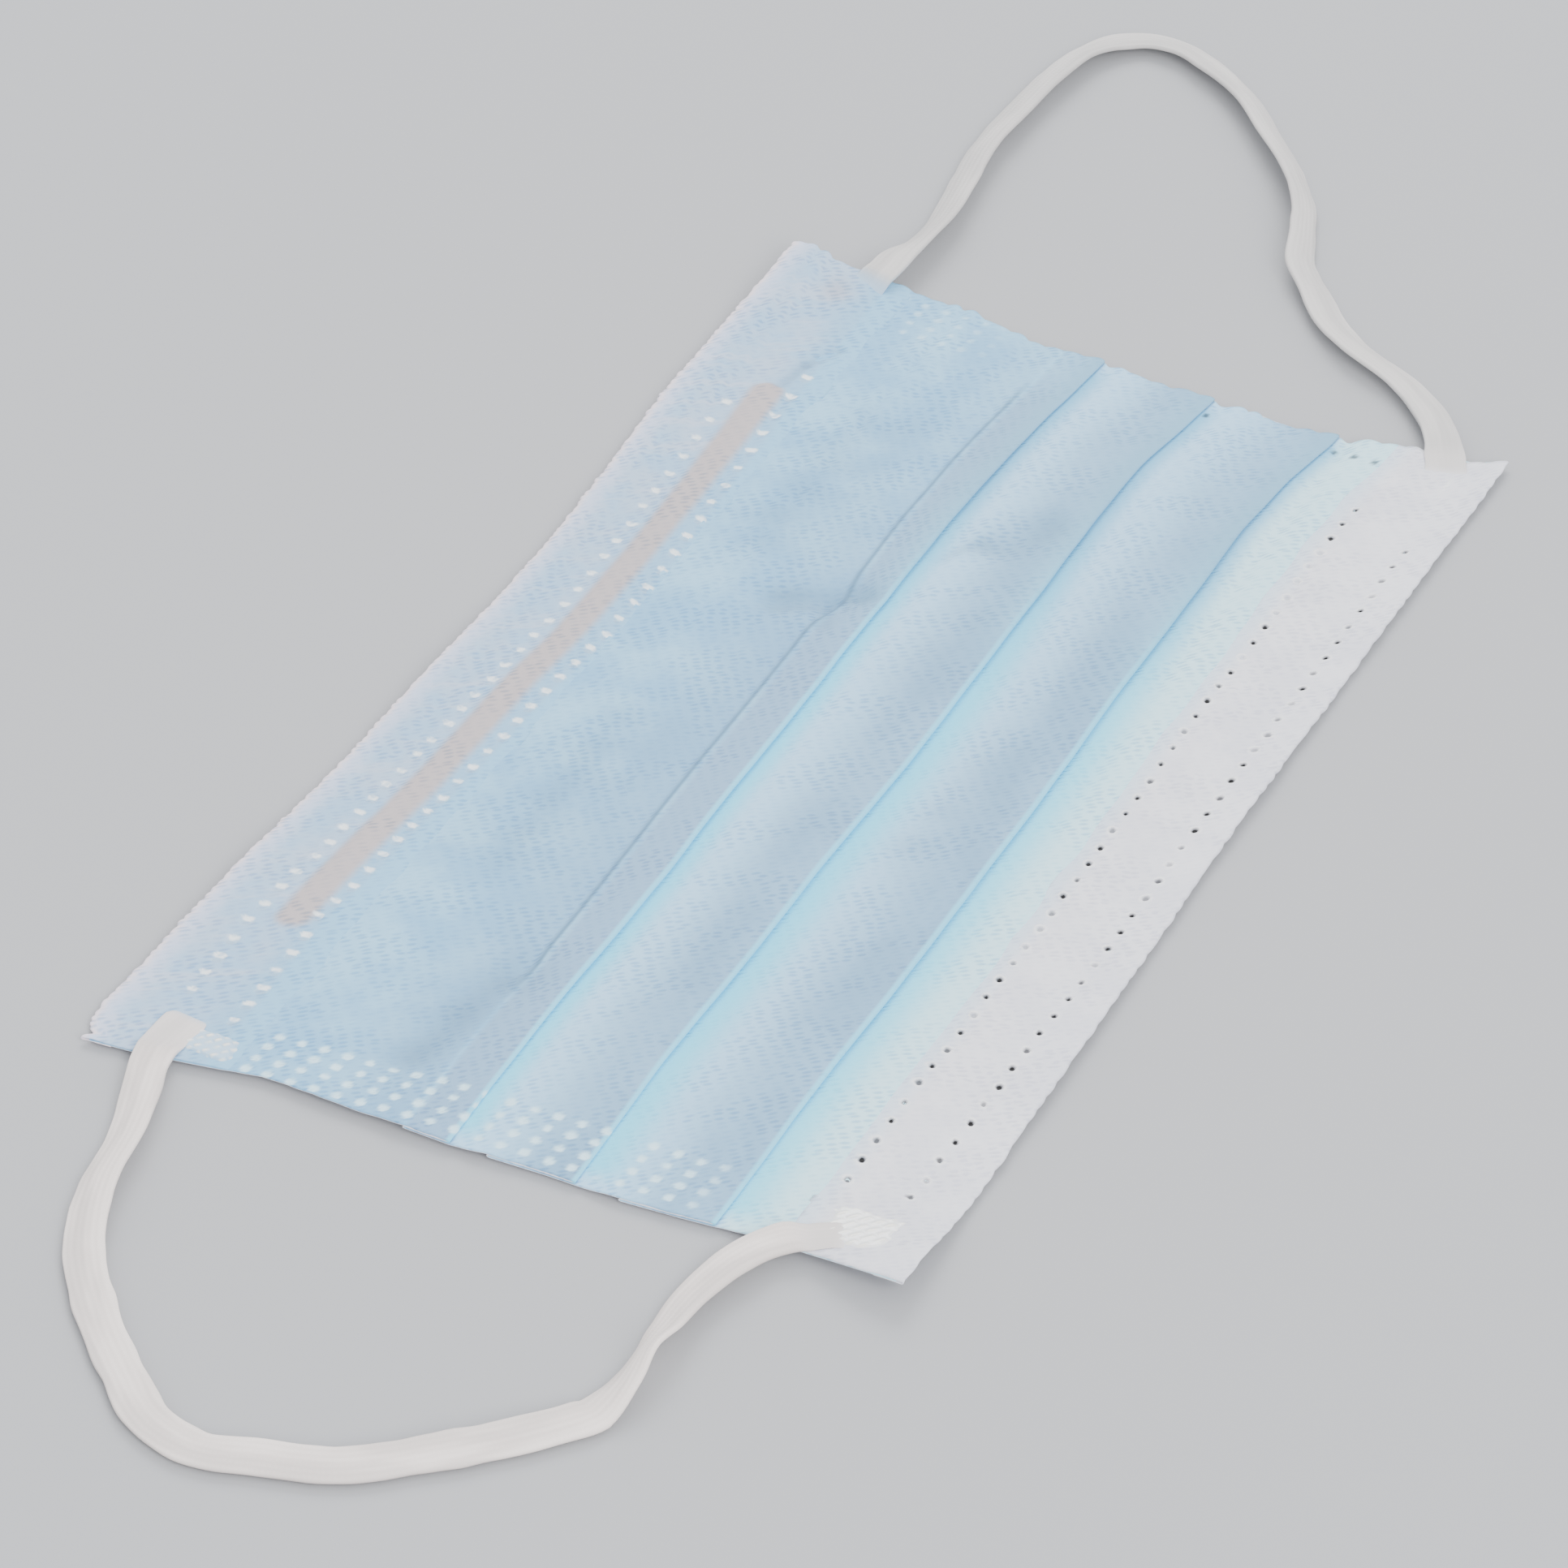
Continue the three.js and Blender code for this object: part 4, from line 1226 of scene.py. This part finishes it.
# Painted shade in the dents and beside the dots, and a painted glint on the dots.
nose_changes = [
    ("sheer", 0.9, WHITE["sheer"]), ("doubled", 0.85, WHITE["doubled"]),
    ("edge", 0.9, WHITE["edge"]), ("pink", 0.75, WHITE["pink"]), ("strip", 0.9, WHITE["strip"]),
    ("blue", 1.0, WHITE["blue"]), ("dent_shade", 0.6, WHITE["fold"]), ("shaded", 0.5, WHITE["shaded"]),
    ("weld", 1.0, WHITE["weld"]),
]
sheer_finish = white_finish("nose_hem_sheer", WHITE["nose"], nose_changes, BLUE["dash"], 0.6)
nose_hem_cloth.data.materials.append(sheer_finish)
# A painted highlight on the lips and painted shade in the holes.
chin_changes = [
    ("sheer", 0.8, WHITE["chin sheer"]), ("lip_highlight_and_seam", 0.9, WHITE["lip_highlight_and_seam"]), ("punched_hole_shade", 1.0, WHITE["punched_hole_shade"]),
]
chin_hem_cloth.data.materials.append(white_finish("chin_hem_white", WHITE["plain"], chin_changes))

# %% [markdown]
# ## The strip, the bands and the welds
# The strip has a dull plastic coat. The bands are knitted: fine loops in rows along the band give
# tiny soft ribs both ways. Where the tool has melted the band and the cloth, both turn creamy,
# smooth and glossy, so the weld patches get a coat of gloss and hardly any texture.
# %% Finishes of the strip, bands and welds
def strip_finish():
    material, tree, shader = finish_named("nose_strip_tan", 0.5)
    grain = noise(tree, turned_place(tree, 0, (0.4, 3.0, 1)), 1.0, 4.0, 0.6)
    tan = blend_tones(tree, grain, tone(198, 174, 164), tone(178, 152, 144))
    dress(tree, shader, tan, relief(tree, grain, 0.05))
    return material


def knit_waves(tree, direction, scale, distortion, detail_scale):
    """Fine uneven waves along or across a band."""
    inputs = [
        ("Vector", node(tree, "UVMap", uv_map="cut").outputs[0]), ("Scale", scale),
        ("Distortion", distortion), ("Detail", 2.0), ("Detail Scale", detail_scale),
    ]
    return node(tree, "TexWave", inputs, bands_direction=direction).outputs["Fac"]


def knit_finish(name, light, dark):
    material, tree, shader = finish_named(name, 0.8, sheen=0.08)
    lines = knit_waves(tree, "X", 0.42, 0.6, 1.5)
    loops = knit_waves(tree, "Y", 0.55, 1.2, 2.0)
    knit = compute(tree, "MULTIPLY", lines, ramp(tree, loops, 0, 1, 0.55, 1.0))
    cloud = noise(tree, turned_place(tree, 0, (0.3, 0.06, 1)), 1.0, 2.0)
    colour = blend_tones(tree, ramp(tree, cloud, 0.3, 0.7), light, dark)
    colour = blend_tones(tree, ramp(tree, knit, 0, 0.6, 0.08, 0.0), colour, tone(168, 160, 158))
    colour = blend_tones(tree, mark_of(tree, "melted", 0.6), colour, tone(222, 216, 214))
    hem_tone = blend_tones(tree, mark_of(tree, "on_nose"), WHITE["plain"], WHITE["nose"])
    colour = blend_tones(tree, mark_of(tree, "gone", 0.8), colour, hem_tone)
    depth = compute(tree, "MULTIPLY", knit, ramp(tree, mark_of(tree, "melted"), 0, 1, 1, 0))
    dress(tree, shader, colour, relief(tree, depth, 0.045, 0.8))
    return material


def weld_finish(name, gloss, hem_tone, film_tone):
    material, tree, shader = finish_named(name, 0.5 - 0.2 * gloss)
    shader.inputs["Coat Weight"].default_value = gloss
    shader.inputs["Coat Roughness"].default_value = 0.22
    colour = blend_tones(tree, mark_of(tree, "film"), hem_tone, film_tone)
    colour = blend_tones(tree, mark_of(tree, "ridge", 1.2), colour, tone(253, 250, 240))
    speckle = noise(tree, turned_place(tree, 0), 2.4, 3.0)
    dress(tree, shader, colour, relief(tree, speckle, 0.04, 0.6))
    return material


nose_strip.data.materials.append(strip_finish())
# The two bands are the same white elastic: the near one gets a lighter copy of the finish as
# painted light, and the far one a darker copy as painted shade.
near_lit_knit = knit_finish("ear_elastic_near_lit", tone(250, 239, 233), tone(224, 214, 209))
far_shaded_knit = knit_finish("ear_elastic_far_shaded", tone(217, 213, 210), tone(201, 198, 196))
ear_band_near.data.materials.append(near_lit_knit)
ear_band_far.data.materials.append(far_shaded_knit)
on_white = weld_finish("weld_on_white", 0.8, WHITE["plain"], tone(246, 247, 247))
on_blue = weld_finish("weld_on_blue", 0.2, WHITE["nose"], tone(172, 206, 232))
for patch, finish in zip(patches, (on_white, on_blue)):
    patch.data.materials.append(finish)
print(len(bpy.data.materials), "materials")

# %% [markdown]
# ## What stands for what
# Each new piece is listed with the piece of the CAD model that it stands for and a finish name,
# and that piece of the CAD model is hidden.
STANDS_FOR = [
    (outer_ply, "pleated_body", "outer_cloth"), (inner_ply, "pleated_body", "inner_cloth"),
    (nose_hem_cloth, "nose_hem", "inner_cloth"), (chin_hem_cloth, "chin_hem", "inner_cloth"),
    (nose_strip, "nose_wire", "nose_strip"), (ear_band_near, "ear_loop_near", "ear_elastic"),
    (ear_band_far, "ear_loop_far", "ear_elastic"),
]
for piece, cad_node, slot in STANDS_FOR:
    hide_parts(cad_node)

# %% [markdown]
# ## Table and light
# The table is plain and pale, so that the white cloth still stands out from it. One big soft
# light comes from the chin side and picks out the rolled edges of the folds and the lips of the
# small holes. A weaker one from the nose side and an even sky keep the shadows soft.
# %% Floor, lights and sky
def area_light(name, place, aim, size, power):
    data = bpy.data.lights.new(name, "AREA")
    data.shape, data.size, data.energy = "SQUARE", size, power
    light = placed(name, data)
    light.location = place
    light.rotation_euler = (Vector(place) - Vector(aim)).to_track_quat("Z", "Y").to_euler()


floor_mesh = bpy.data.meshes.new("floor")
reach, gap = 4.0, -0.0004
signs = ((-1, -1), (1, -1), (1, 1), (-1, 1))
floor_corners = [(sx * reach, sy * reach, gap) for sx, sy in signs]
floor_mesh.from_pydata(floor_corners, [], [(0, 1, 2, 3)])
floor = placed("floor", floor_mesh)
floor_finish, _, floor_shader = finish_named("floor_pale", 0.9)
floor_shader.inputs["Base Color"].default_value = tone(176, 177, 180)
floor_mesh.materials.append(floor_finish)

area_light("key_light", (-0.75, -0.75, 0.75), (0, 0, 0), 0.7, 16)
area_light("fill_light", (0.85, 0.42, 0.8), (0, 0, 0), 0.7, 12)
world = bpy.data.worlds.new("studio")
world.use_nodes = True
world.node_tree.nodes["Background"].inputs["Color"].default_value = (0.95, 0.97, 1.0, 1)
world.node_tree.nodes["Background"].inputs["Strength"].default_value = 1.38
bpy.context.scene.world = world
